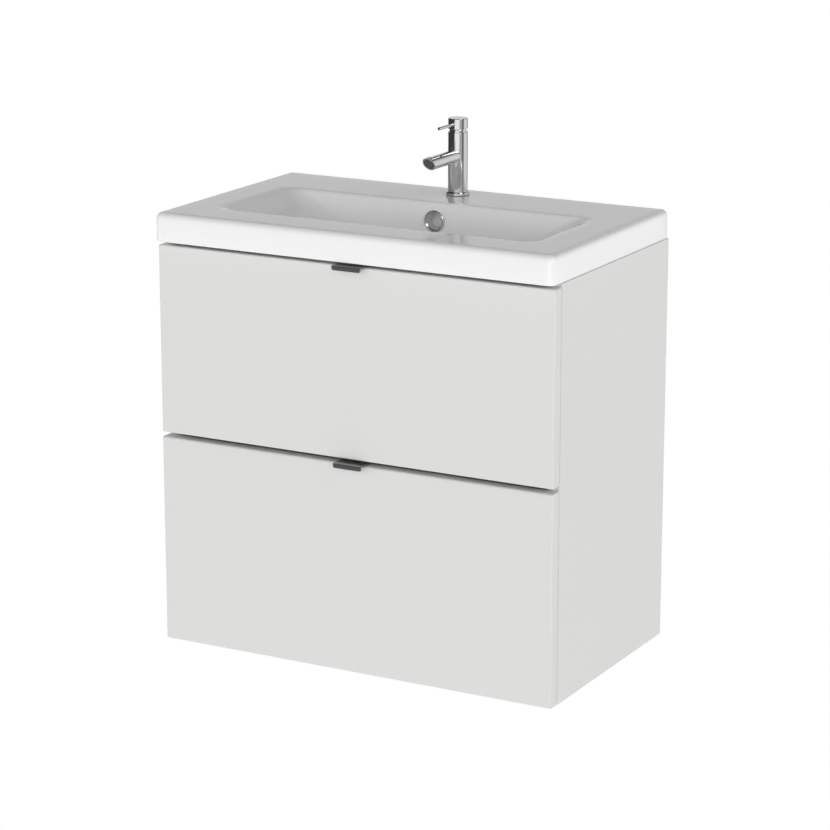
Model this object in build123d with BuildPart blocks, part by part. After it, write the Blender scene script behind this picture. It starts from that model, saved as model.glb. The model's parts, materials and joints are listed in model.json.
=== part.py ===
from build123d import *
import os

# Wall-hung bathroom vanity cabinet: carcass, two drawers on telescopic runners, inset-bowl basin,
# single-lever mixer tap, click waste and bottle trap.
# The wall is the plane y = 0 and the drawers open towards -Y.  The origin is the centre of the four
# wall screws, so z = 0 is the height of the wall plates.

# ---------------------------------------------------------------- driving dimensions (millimetres)
# Carcass
WIDTH = 600.0  # over the side panels
DEPTH = 350.0  # wall to the face of the drawer fronts
CARCASS_HEIGHT = 568.0  # side panels
HANG_DROP = 83.0  # wall screws below the top of the carcass
SIDE_THICKNESS = 18.0
BOTTOM_THICKNESS = 16.0
RAIL_THICKNESS = 16.0
TOP_RAIL_HEIGHT = 50.0
BOTTOM_RAIL_HEIGHT = 80.0
FRONT_RAIL_HEIGHT = 60.0
FRONT_RAIL_SETBACK = 4.0  # behind the front edge of the side panels
BACK_THICKNESS = 6.0
SERVICE_HALF_WIDTH = 75.0  # opening in the back panel for pipes and valves
SERVICE_BELOW = 40.0  # opening below the waste outlet
HANGER_NOTCH = 6.0  # back panel clear of the hangers
PANEL_EDGE_RADIUS = 2.0

# Drawer fronts and pulls
FRONT_THICKNESS = 18.0
UPPER_FRONT_HEIGHT = 263.0
FRONT_EDGE_RADIUS = 2.5
GAP_UNDER_BASIN = 6.0
GAP_BETWEEN_FRONTS = 6.5
BUFFER_GAP = 2.0  # drawer front to carcass edge, filled by the rubber buffers
PULL_WIDTH = 43.0
PULL_SHEET = 2.0
PULL_REACH = 11.0  # lip in front of the drawer face
PULL_LIP = 6.5
PULL_FLANGE = 20.0  # down the back of the front
PULL_SCREW_SPACING = 24.0

# Drawer boxes and runners
BOX_THICKNESS = 16.0
BUFFER_RADIUS = 4.0
BUFFER_INSET = 30.0  # buffers from the upper and lower edges of a front
DRAWER_BOTTOM_THICKNESS = 8.0
BOTTOM_RAISE = 10.0  # drawer bottom above the lower edge of the box
GROOVE_DEPTH = 6.0
BOX_OVER_FRONT_EDGE = 16.0  # upper box above the lower edge of its front
LOWER_BOX_CLEARANCE = 10.0  # lower box above the carcass bottom
LOWER_BOX_DROP = 87.0  # lower box below the top of its front
UPPER_BOX_DROP = 39.0  # upper box below the wall screws, clear of the hangers
REAR_SPACE = 28.0  # drawer box to the wall
CUTOUT_HALF_WIDTH = 75.0
CUTOUT_WALL = 12.0
TRAP_CLEARANCE = 20.0
RUNNER_SPACE = 12.7  # side panel to drawer box
RUNNER_HEIGHT = 45.0
RUNNER_SHEET = 1.2
RUNNER_RAISE = 40.0  # runner centre above the lower edge of the box
RUNNER_SETBACK = 2.0
RUNNER_PLAY = 0.4
RUNNER_SCREW_INSET = 30.0
BOX_SCREW_INSET = 60.0
BRACKET_LEG = 16.0
BRACKET_HEIGHT = 40.0
BRACKET_RAISE = 34.0
BRACKET_SHEET = 1.5

# Hanging
WALL_HOLE_RADIUS = 3.25
WALL_HOLE_INSET = 20.0  # from the inner end of a wall plate
WALL_HOLE_Z = 12.0
PLATE_SHEET = 2.0
PLATE_WIDTH = 74.0
PLATE_BELOW = 30.0
PLATE_ABOVE = 20.0
PLATE_BEYOND_HOOK = 2.0
LIP_STAND_OFF = 6.0
LIP_HEIGHT = 10.0
HANGER_WIDTH = 22.0
HANGER_DEPTH = 50.0
HANGER_REAR = 12.0  # behind the hanger housing
HANGER_BELOW = 26.0
HANGER_ABOVE = 32.0
HOOK_WIDTH = 12.0
HANGER_SCREW_INSET = 10.0
HOOK_ROOT = 15.0  # hook slot behind the front of the housing

# Basin
BASIN_SIDE_OVERHANG = 1.0
BASIN_FRONT_OVERHANG = 8.0
BASIN_EDGE = 40.0
BASIN_SKIRT = 15.0
DECK_THICKNESS = 14.0
BASIN_TOP_RADIUS = 9.0
BASIN_CORNER_RADIUS = 10.0
BASIN_LOWER_RADIUS = 1.5
SEALANT = 1.0
BOWL_END_MARGIN = 65.0
BOWL_FRONT_MARGIN = 68.0
BOWL_REAR_MARGIN = 114.0
BOWL_DEPTH = 103.0
BOWL_WALL = 9.0
BOWL_RIM_RADIUS = 7.0
# Bowl sections: depth, end, front and rear insets, corner radius.  Depth is a share of the bowl depth,
# the end inset a share of half the bowl length, and the others a share of the bowl width.
BOWL_SECTIONS = [
    (0.00, 0.000, 0.000, 0.000, 0.125),
    (0.32, 0.200, 0.070, 0.017, 0.170),
    (0.64, 0.390, 0.135, 0.045, 0.205),
    (0.88, 0.560, 0.215, 0.097, 0.240),
    (1.00, 0.745, 0.340, 0.215, 0.200),
]
OVERFLOW_DROP = 26.0  # overflow centre below the deck
OVERFLOW_HOLE_RADIUS = 12.2
OVERFLOW_RING_RADIUS = 15.5
OVERFLOW_DUCT_HALF_WIDTH = 20.0
OVERFLOW_DUCT_WALL = 6.0

# Waste and trap
WASTE_HOLE_RADIUS = 23.0
WASTE_FLANGE_RADIUS = 31.0
WASTE_BOSS_RADIUS = 32.0
WASTE_BOSS_DEPTH = 20.0
WASTE_THREAD_RADIUS = 20.9
WASTE_THREAD_WALL = 2.9
WASTE_TUBE_RADIUS = 16.0
WASTE_TUBE_WALL = 1.8
WASTE_FLANGE_HEIGHT = 3.0
WASTE_SEAL_HEIGHT = 4.0
WASTE_NUT_HEIGHT = 10.0
WASTE_SPARE_THREAD = 10.0
WASTE_TAIL_LENGTH = 45.0
PLUG_RADIUS = 30.0
STEM_RADIUS = 4.0
STEM_PLAY = 0.05
TRAP_BODY_RADIUS = 31.0
TRAP_CUP_RADIUS = 35.0
TRAP_WALL = 3.0
TRAP_INSERTION = 13.0  # waste tail inside the trap
TRAP_SHOULDER = 18.0
TRAP_OUTLET_ROOF = 0.7  # chamber top to the bore of the outlet
TRAP_BRANCH = 20.0
TRAP_BRANCH_WALL = 2.0
TRAP_BRANCH_GAP = 5.7  # outlet branch to the rim of the cup
SPIGOT_LENGTH = 40.0
SPIGOT_STEP = 0.5  # spigot smaller in radius than the pipe
TRAP_NUT_WALL = 6.5
TRAP_NUT_HEIGHT = 14.0
TRAP_CUP_DEPTH = 38.0
TRAP_CUP_OVERLAP = 12.0
TRAP_CUP_FLOOR = 4.0
TRAP_DIP = 14.0  # dip tube below the chamber
TRAP_FIT = 0.2

# Tap
TAP_FROM_WALL = 48.0
TAP_RADIUS = 13.75
TAP_HEIGHT = 108.0
TAP_BASE_LIP = 2.55  # base ring beyond the body
TAP_BASE_SEAT = 2.3  # base ring beyond the hole in the deck
TAP_BASE_HEIGHT = 4.5
TAP_GASKET = 0.8
GASKET_INSET = 0.5  # gasket inside the edge of the base ring
TAP_BODY_TOP = 89.0
TAP_HEAD_GAP = 4.5
TAP_BALL_RADIUS = 12.0
CLAMP_SEAT = 8.0  # horseshoe clamp beyond the tap hole
CLAMP_THICKNESS = 4.0
HOSE_SLOT_WIDTH = 21.0
HOSE_SLOT_END = 3.0  # behind the tap axis
STUD_BELOW_DECK = 36.0
STUD_NUT_HEIGHT = 7.0
CARTRIDGE_WALL = 2.8
CARTRIDGE_DEPTH = 24.0
TAP_PLAY = 0.3
SPOUT_RADIUS = 9.25
SPOUT_BORE = 7.5
SPOUT_RAISE = 56.0
SPOUT_REACH = 91.0
SPOUT_END_ANGLE = 35.0
LEVER_RADIUS = 2.25
LEVER_REACH = 56.0
LEVER_DROP = 7.5
LEVER_SOCKET = 5.0
INLET_RADIUS = 4.5
INLET_OFFSET = 5.6
INLET_LENGTH = 14.0
STUD_RADIUS = 3.0
STUD_OFFSET = 8.0
INLET_FORWARD = 3.0  # inlets in front of the tap axis

# Fasteners and small clearances
DOWEL_RADIUS = 4.0
DOWEL_IN_SIDE = 10.0
DOWEL_IN_RAIL = 22.0
DOWEL_FROM_EDGE = 50.0
SCREW_RADIUS = 1.75
SCREW_LENGTH = 12.0
SCREW_HEAD_RADIUS = 3.5
SCREW_HEAD_HEIGHT = 2.2
HOLE_PLAY = 0.1
SEAT_GAP = 0.3

# ---------------------------------------------------------------- places worked out from them
INNER_X = WIDTH / 2 - SIDE_THICKNESS
FACE_Y = -DEPTH
FRONT_REAR_Y = FACE_Y + FRONT_THICKNESS
CARCASS_FRONT_Y = FRONT_REAR_Y + BUFFER_GAP
CARCASS_TOP_Z = HANG_DROP
UNDERSIDE_Z = HANG_DROP - CARCASS_HEIGHT
FLOOR_TOP_Z = UNDERSIDE_Z + BOTTOM_THICKNESS

BASIN_BOTTOM_Z = CARCASS_TOP_Z + SEALANT
BASIN_TOP_Z = BASIN_BOTTOM_Z + BASIN_EDGE
BASIN_HALF_WIDTH = WIDTH / 2 + BASIN_SIDE_OVERHANG
BASIN_FRONT_Y = FACE_Y - BASIN_FRONT_OVERHANG
BOWL_HALF_LENGTH = BASIN_HALF_WIDTH - BOWL_END_MARGIN
BOWL_FRONT_Y = BASIN_FRONT_Y + BOWL_FRONT_MARGIN
BOWL_REAR_Y = -BOWL_REAR_MARGIN
BOWL_WIDTH = BOWL_REAR_Y - BOWL_FRONT_Y
BOWL_FLOOR_Z = BASIN_TOP_Z - BOWL_DEPTH

UPPER_TOP_Z = BASIN_BOTTOM_Z - GAP_UNDER_BASIN
UPPER_BOTTOM_Z = UPPER_TOP_Z - UPPER_FRONT_HEIGHT
LOWER_TOP_Z = UPPER_BOTTOM_Z - GAP_BETWEEN_FRONTS
LOWER_BOTTOM_Z = UNDERSIDE_Z

BOX_HALF_WIDTH = INNER_X - RUNNER_SPACE
BOX_INNER_X = BOX_HALF_WIDTH - BOX_THICKNESS
BOX_REAR_Y = -REAR_SPACE
UPPER_BOX = (UPPER_BOTTOM_Z + BOX_OVER_FRONT_EDGE, -UPPER_BOX_DROP)
LOWER_BOX = (FLOOR_TOP_Z + LOWER_BOX_CLEARANCE, LOWER_TOP_Z - LOWER_BOX_DROP)
RUNNER_Y = (CARCASS_FRONT_Y + RUNNER_SETBACK, BOX_REAR_Y)
RUNNER_MIDDLE_Y = (RUNNER_Y[0] + RUNNER_Y[1]) / 2
RUNNER_SCREW_YS = [RUNNER_Y[0] + RUNNER_SCREW_INSET, RUNNER_MIDDLE_Y, RUNNER_Y[1] - RUNNER_SCREW_INSET]
BOX_SCREW_YS = [RUNNER_Y[0] + BOX_SCREW_INSET, RUNNER_Y[1] - BOX_SCREW_INSET]

FLOOR_SECTION = BOWL_SECTIONS[-1]
WASTE_Y = (BOWL_FRONT_Y + BOWL_REAR_Y + BOWL_WIDTH * (FLOOR_SECTION[2] - FLOOR_SECTION[3])) / 2
BOSS_Z = BOWL_FLOOR_Z - BOWL_WALL - WASTE_BOSS_DEPTH
TAP_Y = -TAP_FROM_WALL
TAP_BASE_RADIUS = TAP_RADIUS + TAP_BASE_LIP
TAP_HOLE_RADIUS = TAP_BASE_RADIUS - TAP_BASE_SEAT
FLANGE_Z = (BOWL_FLOOR_Z, BOWL_FLOOR_Z + WASTE_FLANGE_HEIGHT)
SEAL_Z = (BOSS_Z - WASTE_SEAL_HEIGHT, BOSS_Z)
WASTE_NUT_Z = (SEAL_Z[0] - WASTE_NUT_HEIGHT, SEAL_Z[0])
THREAD_END_Z = WASTE_NUT_Z[0] - WASTE_SPARE_THREAD
TUBE_END_Z = THREAD_END_Z - WASTE_TAIL_LENGTH
COLLAR_Z = TUBE_END_Z + TRAP_INSERTION
CHAMBER_Z = COLLAR_Z - TRAP_SHOULDER
TRAP_BORE = WASTE_TUBE_RADIUS + SEAT_GAP
OUTLET_Z = CHAMBER_Z - TRAP_WALL - TRAP_OUTLET_ROOF - TRAP_BORE
CUP_TOP_Z = OUTLET_Z - TRAP_BORE - TRAP_BRANCH_WALL - TRAP_BRANCH_GAP
CHAMBER_FLOOR_Z = CUP_TOP_Z - TRAP_CUP_OVERLAP
CUTOUT_FRONT_Y = WASTE_Y - TRAP_CUP_RADIUS - TRAP_CLEARANCE


# ---------------------------------------------------------------- shapes that repeat
def block(x, y, z, mode=Mode.ADD):
    """A block between two limits along each axis."""
    with Locations(((x[0] + x[1]) / 2, (y[0] + y[1]) / 2, (z[0] + z[1]) / 2)):
        Box(abs(x[1] - x[0]), abs(y[1] - y[0]), abs(z[1] - z[0]), mode=mode)


def rod_x(x, y, z, radius, mode=Mode.ADD):
    """A round bar along X."""
    with Locations(((x[0] + x[1]) / 2, y, z)):
        Cylinder(radius, abs(x[1] - x[0]), rotation=(0, 90, 0), mode=mode)


def rod_y(x, y, z, radius, mode=Mode.ADD):
    """A round bar along Y."""
    with Locations((x, (y[0] + y[1]) / 2, z)):
        Cylinder(radius, abs(y[1] - y[0]), rotation=(90, 0, 0), mode=mode)


def rod_z(x, y, z, radius, mode=Mode.ADD):
    """A round bar along Z."""
    with Locations((x, y, (z[0] + z[1]) / 2)):
        Cylinder(radius, abs(z[1] - z[0]), mode=mode)


def turned(points, x, y):
    """A piece turned about the vertical line through (x, y); points are (radius, height) pairs."""
    with BuildPart() as made:
        with BuildSketch(Plane((x, y, 0), x_dir=(1, 0, 0), z_dir=(0, -1, 0))):
            with BuildLine():
                Polyline(*points, close=True)
            make_face()
        revolve(axis=Axis((x, y, 0), (0, 0, 1)))
    return made


# ---------------------------------------------------------------- carcass
FRONT_RAIL_Y = (CARCASS_FRONT_Y + FRONT_RAIL_SETBACK, CARCASS_FRONT_Y + FRONT_RAIL_SETBACK + RAIL_THICKNESS)
REAR_RAIL_Y = (-RAIL_THICKNESS, 0)
TOP_RAIL_Z = (CARCASS_TOP_Z - TOP_RAIL_HEIGHT, CARCASS_TOP_Z)
BOTTOM_RAIL_Z = (FLOOR_TOP_Z, FLOOR_TOP_Z + BOTTOM_RAIL_HEIGHT)
FRONT_RAIL_Z = (CARCASS_TOP_Z - FRONT_RAIL_HEIGHT, CARCASS_TOP_Z)


def mid(span):
    return (span[0] + span[1]) / 2


def quarter_points(span):
    return [span[0] + (span[1] - span[0]) / 4, span[1] - (span[1] - span[0]) / 4]


BOTTOM_DOWEL_YS = (CARCASS_FRONT_Y + DOWEL_FROM_EDGE, CARCASS_FRONT_Y / 2, -DOWEL_FROM_EDGE)
BOTTOM_DOWELS = [(y, UNDERSIDE_Z + BOTTOM_THICKNESS / 2) for y in BOTTOM_DOWEL_YS]
TOP_RAIL_DOWELS = [(mid(REAR_RAIL_Y), z) for z in quarter_points(TOP_RAIL_Z)]
BOTTOM_RAIL_DOWELS = [(mid(REAR_RAIL_Y), z) for z in quarter_points(BOTTOM_RAIL_Z)]
FRONT_RAIL_DOWELS = [(mid(FRONT_RAIL_Y), z) for z in quarter_points(FRONT_RAIL_Z)]
ALL_DOWELS = BOTTOM_DOWELS + TOP_RAIL_DOWELS + BOTTOM_RAIL_DOWELS + FRONT_RAIL_DOWELS
RUNNER_HEIGHTS = [UPPER_BOX[0] + RUNNER_RAISE, LOWER_BOX[0] + RUNNER_RAISE]
HANGER_Y = (-HANGER_REAR - HANGER_DEPTH, -HANGER_REAR)
HANGER_SCREW_Y = HANGER_Y[0] + HANGER_SCREW_INSET
HANGER_SCREW_ZS = [-HANGER_BELOW + HANGER_SCREW_INSET, HANGER_ABOVE - 2 * HANGER_SCREW_INSET]


def dowel_holes(side, places):
    """Blind dowel holes in a side panel and in the board end that meets it."""
    for y, z in places:
        reach = (side * (INNER_X - DOWEL_IN_RAIL - HOLE_PLAY), side * (INNER_X + DOWEL_IN_SIDE + HOLE_PLAY))
        rod_x(reach, y, z, DOWEL_RADIUS + HOLE_PLAY, mode=Mode.SUBTRACT)


def side_panel(side):
    """Side panel with its front edges eased and its holes drilled from the inside."""
    with BuildPart() as panel:
        block((side * INNER_X, side * WIDTH / 2), (CARCASS_FRONT_Y, 0), (UNDERSIDE_Z, CARCASS_TOP_Z))
        fillet(panel.edges().filter_by(Axis.Z).group_by(Axis.Y)[0], PANEL_EDGE_RADIUS)
        dowel_holes(side, ALL_DOWELS)
        depth = (side * INNER_X, side * (INNER_X + SCREW_LENGTH + HOLE_PLAY))
        for z in RUNNER_HEIGHTS:
            for y in RUNNER_SCREW_YS:
                rod_x(depth, y, z, SCREW_RADIUS + HOLE_PLAY, mode=Mode.SUBTRACT)
        for z in HANGER_SCREW_ZS:
            rod_x(depth, HANGER_SCREW_Y, z, SCREW_RADIUS + HOLE_PLAY, mode=Mode.SUBTRACT)
    return panel


def cross_board(y, z, places):
    """A board between the side panels, with its end holes for the dowels."""
    with BuildPart() as board:
        block((-INNER_X, INNER_X), y, z)
        for side in (-1, 1):
            dowel_holes(side, places)
    return board


left_side_panel = side_panel(-1)
right_side_panel = side_panel(1)
bottom_panel = cross_board((CARCASS_FRONT_Y, 0), (UNDERSIDE_Z, FLOOR_TOP_Z), BOTTOM_DOWELS)
rear_top_rail = cross_board(REAR_RAIL_Y, TOP_RAIL_Z, TOP_RAIL_DOWELS)
rear_bottom_rail = cross_board(REAR_RAIL_Y, BOTTOM_RAIL_Z, BOTTOM_RAIL_DOWELS)
front_cross_rail = cross_board(FRONT_RAIL_Y, FRONT_RAIL_Z, FRONT_RAIL_DOWELS)

with BuildPart() as back_panel:
    back_y = (-RAIL_THICKNESS - BACK_THICKNESS, -RAIL_THICKNESS)
    block((-INNER_X, INNER_X), back_y, (FLOOR_TOP_Z, TOP_RAIL_Z[0] + TOP_RAIL_HEIGHT / 2))
    service_x = (-SERVICE_HALF_WIDTH, SERVICE_HALF_WIDTH)
    block(service_x, back_y, (OUTLET_Z - SERVICE_BELOW, TOP_RAIL_Z[0]), mode=Mode.SUBTRACT)
    for side in (-1, 1):
        notch_x = (side * (INNER_X - HANGER_WIDTH - HANGER_NOTCH), side * INNER_X)
        notch_z = (-HANGER_BELOW - HANGER_NOTCH, TOP_RAIL_Z[1])
        block(notch_x, back_y, notch_z, mode=Mode.SUBTRACT)

with BuildPart() as carcass_dowels:
    for side in (-1, 1):
        for y, z in ALL_DOWELS:
            rod_x((side * (INNER_X - DOWEL_IN_RAIL), side * (INNER_X + DOWEL_IN_SIDE)), y, z, DOWEL_RADIUS)

# ---------------------------------------------------------------- hanging
HANGER_X = (INNER_X - HANGER_WIDTH, INNER_X)
HOOK_X = (INNER_X - (HANGER_WIDTH + HOOK_WIDTH) / 2, INNER_X - (HANGER_WIDTH - HOOK_WIDTH) / 2)
PLATE_X = (HOOK_X[1] + PLATE_BEYOND_HOOK - PLATE_WIDTH, HOOK_X[1] + PLATE_BEYOND_HOOK)
WALL_HOLE_X = PLATE_X[0] + WALL_HOLE_INSET
LIP_TOP_Z = PLATE_ABOVE + LIP_HEIGHT - PLATE_SHEET
HOOK_Z = (LIP_TOP_Z + SEAT_GAP, LIP_TOP_Z + SEAT_GAP + PLATE_SHEET)
HOOK_TAIL_Y = (-LIP_STAND_OFF / 2 - PLATE_SHEET / 2, -LIP_STAND_OFF / 2 + PLATE_SHEET / 2)

with BuildPart() as wall_plates:
    for side in (-1, 1):
        span = (side * PLATE_X[0], side * PLATE_X[1])
        block(span, (-PLATE_SHEET, 0), (-PLATE_BELOW, PLATE_ABOVE))
        block(span, (-LIP_STAND_OFF - PLATE_SHEET, 0), (PLATE_ABOVE - PLATE_SHEET, PLATE_ABOVE))
        block(span, (-LIP_STAND_OFF - PLATE_SHEET, -LIP_STAND_OFF), (PLATE_ABOVE - PLATE_SHEET, LIP_TOP_Z))
        for z in (-WALL_HOLE_Z, WALL_HOLE_Z):
            rod_y(side * WALL_HOLE_X, (-PLATE_SHEET, 0), z, WALL_HOLE_RADIUS, mode=Mode.SUBTRACT)

with BuildPart() as hanger_housings:
    for side in (-1, 1):
        block((side * HANGER_X[0], side * HANGER_X[1]), HANGER_Y, (-HANGER_BELOW, HANGER_ABOVE))
    fillet(hanger_housings.edges().filter_by(Axis.Z), 2)
    for side in (-1, 1):
        slot_x = (side * (HOOK_X[0] - SEAT_GAP), side * (HOOK_X[1] + SEAT_GAP))
        slot_y = (HANGER_Y[0] + HOOK_ROOT, HANGER_Y[1])
        block(slot_x, slot_y, (HOOK_Z[0] - SEAT_GAP, HANGER_ABOVE), mode=Mode.SUBTRACT)
        for z in HANGER_SCREW_ZS:
            reach = (side * HANGER_X[0], side * HANGER_X[1])
            rod_x(reach, HANGER_SCREW_Y, z, SCREW_RADIUS + HOLE_PLAY, mode=Mode.SUBTRACT)

with BuildPart() as hanger_hooks:
    for side in (-1, 1):
        span = (side * HOOK_X[0], side * HOOK_X[1])
        block(span, (HANGER_Y[0] + HOOK_ROOT + SEAT_GAP, HOOK_TAIL_Y[1]), HOOK_Z)
        block(span, HOOK_TAIL_Y, (PLATE_ABOVE + 1, HOOK_Z[1]))

# ---------------------------------------------------------------- drawer runners
RUNNER_HALF = RUNNER_HEIGHT / 2
# Three nested channels.  Each has its web's place from the side panel, its flange's far end and its
# half height.
CABINET_CHANNEL = (0.0, 9.0, RUNNER_HALF)
MIDDLE_CHANNEL = (4.2, 10.4, RUNNER_HALF - RUNNER_SHEET - RUNNER_PLAY)
DRAWER_CHANNEL = (RUNNER_SPACE, 6.2, RUNNER_HALF - 2 * (RUNNER_SHEET + RUNNER_PLAY))


def channel(shape, height, side, screws):
    """One runner member on one side, at a height, with the screw holes in its web."""
    web, far_end, half = shape
    inward = 1 if far_end > web else -1
    x = [side * (INNER_X - web), side * (INNER_X - web - inward * RUNNER_SHEET), side * (INNER_X - far_end)]
    block((x[0], x[1]), RUNNER_Y, (height - half, height + half))
    for edge in (-1, 1):
        flange = (height + edge * (half - RUNNER_SHEET), height + edge * half)
        block((x[0], x[2]), RUNNER_Y, flange)
    for y in screws:
        rod_x((x[0], x[1]), y, height, SCREW_RADIUS + HOLE_PLAY, mode=Mode.SUBTRACT)


def runner_pair(shape, heights, screws):
    """The same runner member on both sides, at each height."""
    with BuildPart() as pair:
        for height in heights:
            for side in (-1, 1):
                channel(shape, height, side, screws)
    return pair


cabinet_runners = runner_pair(CABINET_CHANNEL, RUNNER_HEIGHTS, RUNNER_SCREW_YS)
upper_middle_runners = runner_pair(MIDDLE_CHANNEL, RUNNER_HEIGHTS[:1], [])
lower_middle_runners = runner_pair(MIDDLE_CHANNEL, RUNNER_HEIGHTS[1:], [])
upper_drawer_runners = runner_pair(DRAWER_CHANNEL, RUNNER_HEIGHTS[:1], BOX_SCREW_YS)
lower_drawer_runners = runner_pair(DRAWER_CHANNEL, RUNNER_HEIGHTS[1:], BOX_SCREW_YS)


def screw_x(head, tip_side, y, z):
    """A pan-head screw along X; its head stands on the plane x = head, its tip points to tip_side."""
    rod_x((head, head - tip_side * SCREW_HEAD_HEIGHT), y, z, SCREW_HEAD_RADIUS)
    rod_x((head, head + tip_side * SCREW_LENGTH), y, z, SCREW_RADIUS)


def screw_y(head, x, z):
    """A pan-head screw along Y, pointing to the front; its head stands on the plane y = head."""
    rod_y(x, (head, head + SCREW_HEAD_HEIGHT), z, SCREW_HEAD_RADIUS)
    rod_y(x, (head, head - SCREW_LENGTH), z, SCREW_RADIUS)


with BuildPart() as carcass_screws:
    for side in (-1, 1):
        for z in RUNNER_HEIGHTS:
            for y in RUNNER_SCREW_YS:
                screw_x(side * (INNER_X - RUNNER_SHEET), side, y, z)
        for z in HANGER_SCREW_ZS:
            head_x = (side * HANGER_X[0], side * (HANGER_X[0] - SCREW_HEAD_HEIGHT))
            rod_x(head_x, HANGER_SCREW_Y, z, SCREW_HEAD_RADIUS)
            shank_x = (side * HANGER_X[0], side * (INNER_X + SCREW_LENGTH))
            rod_x(shank_x, HANGER_SCREW_Y, z, SCREW_RADIUS)

with BuildPart() as drawer_buffers:
    buffer_x = INNER_X + SIDE_THICKNESS / 2
    for x in (-buffer_x, buffer_x):
        for bottom, top in ((UPPER_BOTTOM_Z, UPPER_TOP_Z), (LOWER_BOTTOM_Z, LOWER_TOP_Z)):
            for z in (bottom + BUFFER_INSET, top - BUFFER_INSET):
                rod_y(x, (CARCASS_FRONT_Y - BUFFER_GAP + HOLE_PLAY, CARCASS_FRONT_Y), z, BUFFER_RADIUS)


# ---------------------------------------------------------------- drawers
def bracket_zs(box):
    middle = box[0] + BRACKET_RAISE + BRACKET_HEIGHT / 2
    return [middle - BRACKET_HEIGHT / 4, middle + BRACKET_HEIGHT / 4]


BRACKET_SCREW_X = BOX_INNER_X - BRACKET_LEG / 2 - 2
BRACKET_SCREW_Y = FRONT_REAR_Y + BRACKET_LEG / 2 + 2
PULL_SCREW_DROP = 12.0


def drawer_front(bottom, top, box):
    """Drawer front with eased edges and pilot holes for the brackets and the pull."""
    with BuildPart() as front:
        block((-WIDTH / 2, WIDTH / 2), (FACE_Y, FRONT_REAR_Y), (bottom, top))
        fillet(front.faces().sort_by(Axis.Y)[0].edges(), FRONT_EDGE_RADIUS)
        fillet(front.edges().filter_by(Axis.Y), 1)
        pilot = (FRONT_REAR_Y - SCREW_LENGTH - HOLE_PLAY, FRONT_REAR_Y)
        for side in (-1, 1):
            for z in bracket_zs(box):
                rod_y(side * BRACKET_SCREW_X, pilot, z, SCREW_RADIUS + HOLE_PLAY, mode=Mode.SUBTRACT)
            pull_x = side * PULL_SCREW_SPACING / 2
            rod_y(pull_x, pilot, top - PULL_SCREW_DROP, SCREW_RADIUS + HOLE_PLAY, mode=Mode.SUBTRACT)
    return front


def drawer_pull(top):
    """Pull bent from flat bar: flange behind the front, plate over its top edge, lip before its face."""
    lip_y = FACE_Y - PULL_REACH
    rear_y = FRONT_REAR_Y + PULL_SHEET
    outline = [
        (rear_y, top - PULL_FLANGE),
        (rear_y, top + PULL_SHEET),
        (lip_y, top + PULL_SHEET),
        (lip_y, top + PULL_SHEET - PULL_LIP),
        (lip_y + PULL_SHEET, top + PULL_SHEET - PULL_LIP),
        (lip_y + PULL_SHEET, top),
        (FRONT_REAR_Y, top),
        (FRONT_REAR_Y, top - PULL_FLANGE),
    ]
    with BuildPart() as pull:
        with BuildSketch(Plane.YZ.offset(-PULL_WIDTH / 2)) as profile:
            with BuildLine():
                Polyline(*outline, close=True)
            make_face()
            outer_bends = profile.vertices().group_by(Axis.Y)[-1].sort_by(Axis.X)
            fillet([outer_bends[0], outer_bends[-1]], PULL_SHEET * 0.9)
        extrude(amount=PULL_WIDTH)
        for side in (-1, 1):
            hole_centre = (side * PULL_SCREW_SPACING / 2, rear_y, top - PULL_SCREW_DROP)
            with Locations(Plane(hole_centre, z_dir=(0, 1, 0))):
                CounterSinkHole(SCREW_RADIUS + HOLE_PLAY, SCREW_HEAD_RADIUS, PULL_SHEET, 90)
    return pull


def drawer_side(side, box):
    """Drawer side with the groove for the drawer bottom and its screw holes."""
    with BuildPart() as panel:
        block((side * BOX_INNER_X, side * BOX_HALF_WIDTH), (FRONT_REAR_Y, BOX_REAR_Y), box)
        groove_z = (box[0] + BOTTOM_RAISE, box[0] + BOTTOM_RAISE + DRAWER_BOTTOM_THICKNESS)
        groove_x = (side * BOX_INNER_X, side * (BOX_INNER_X + GROOVE_DEPTH))
        block(groove_x, (FRONT_REAR_Y, BOX_REAR_Y), groove_z, mode=Mode.SUBTRACT)
        for y in BOX_SCREW_YS:
            reach = (side * BOX_HALF_WIDTH, side * (BOX_HALF_WIDTH - SCREW_LENGTH - HOLE_PLAY + RUNNER_SHEET))
            rod_x(reach, y, box[0] + RUNNER_RAISE, SCREW_RADIUS + HOLE_PLAY, mode=Mode.SUBTRACT)
        for z in bracket_zs(box):
            reach = (side * BOX_INNER_X, side * (BOX_INNER_X + SCREW_LENGTH - BRACKET_SHEET + HOLE_PLAY))
            rod_x(reach, BRACKET_SCREW_Y, z, SCREW_RADIUS + HOLE_PLAY, mode=Mode.SUBTRACT)
    return panel


def drawer_bottom(box, cutout):
    """Drawer bottom held in the grooves of the sides, with the trap cut-out where there is one."""
    z = (box[0] + BOTTOM_RAISE, box[0] + BOTTOM_RAISE + DRAWER_BOTTOM_THICKNESS)
    half = BOX_INNER_X + GROOVE_DEPTH - HOLE_PLAY
    with BuildPart() as panel:
        block((-half, half), (FRONT_REAR_Y, BOX_REAR_Y), z)
        if cutout:
            cutout_x = (-CUTOUT_HALF_WIDTH, CUTOUT_HALF_WIDTH)
            block(cutout_x, (CUTOUT_FRONT_Y, BOX_REAR_Y), z, mode=Mode.SUBTRACT)
    return panel


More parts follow.
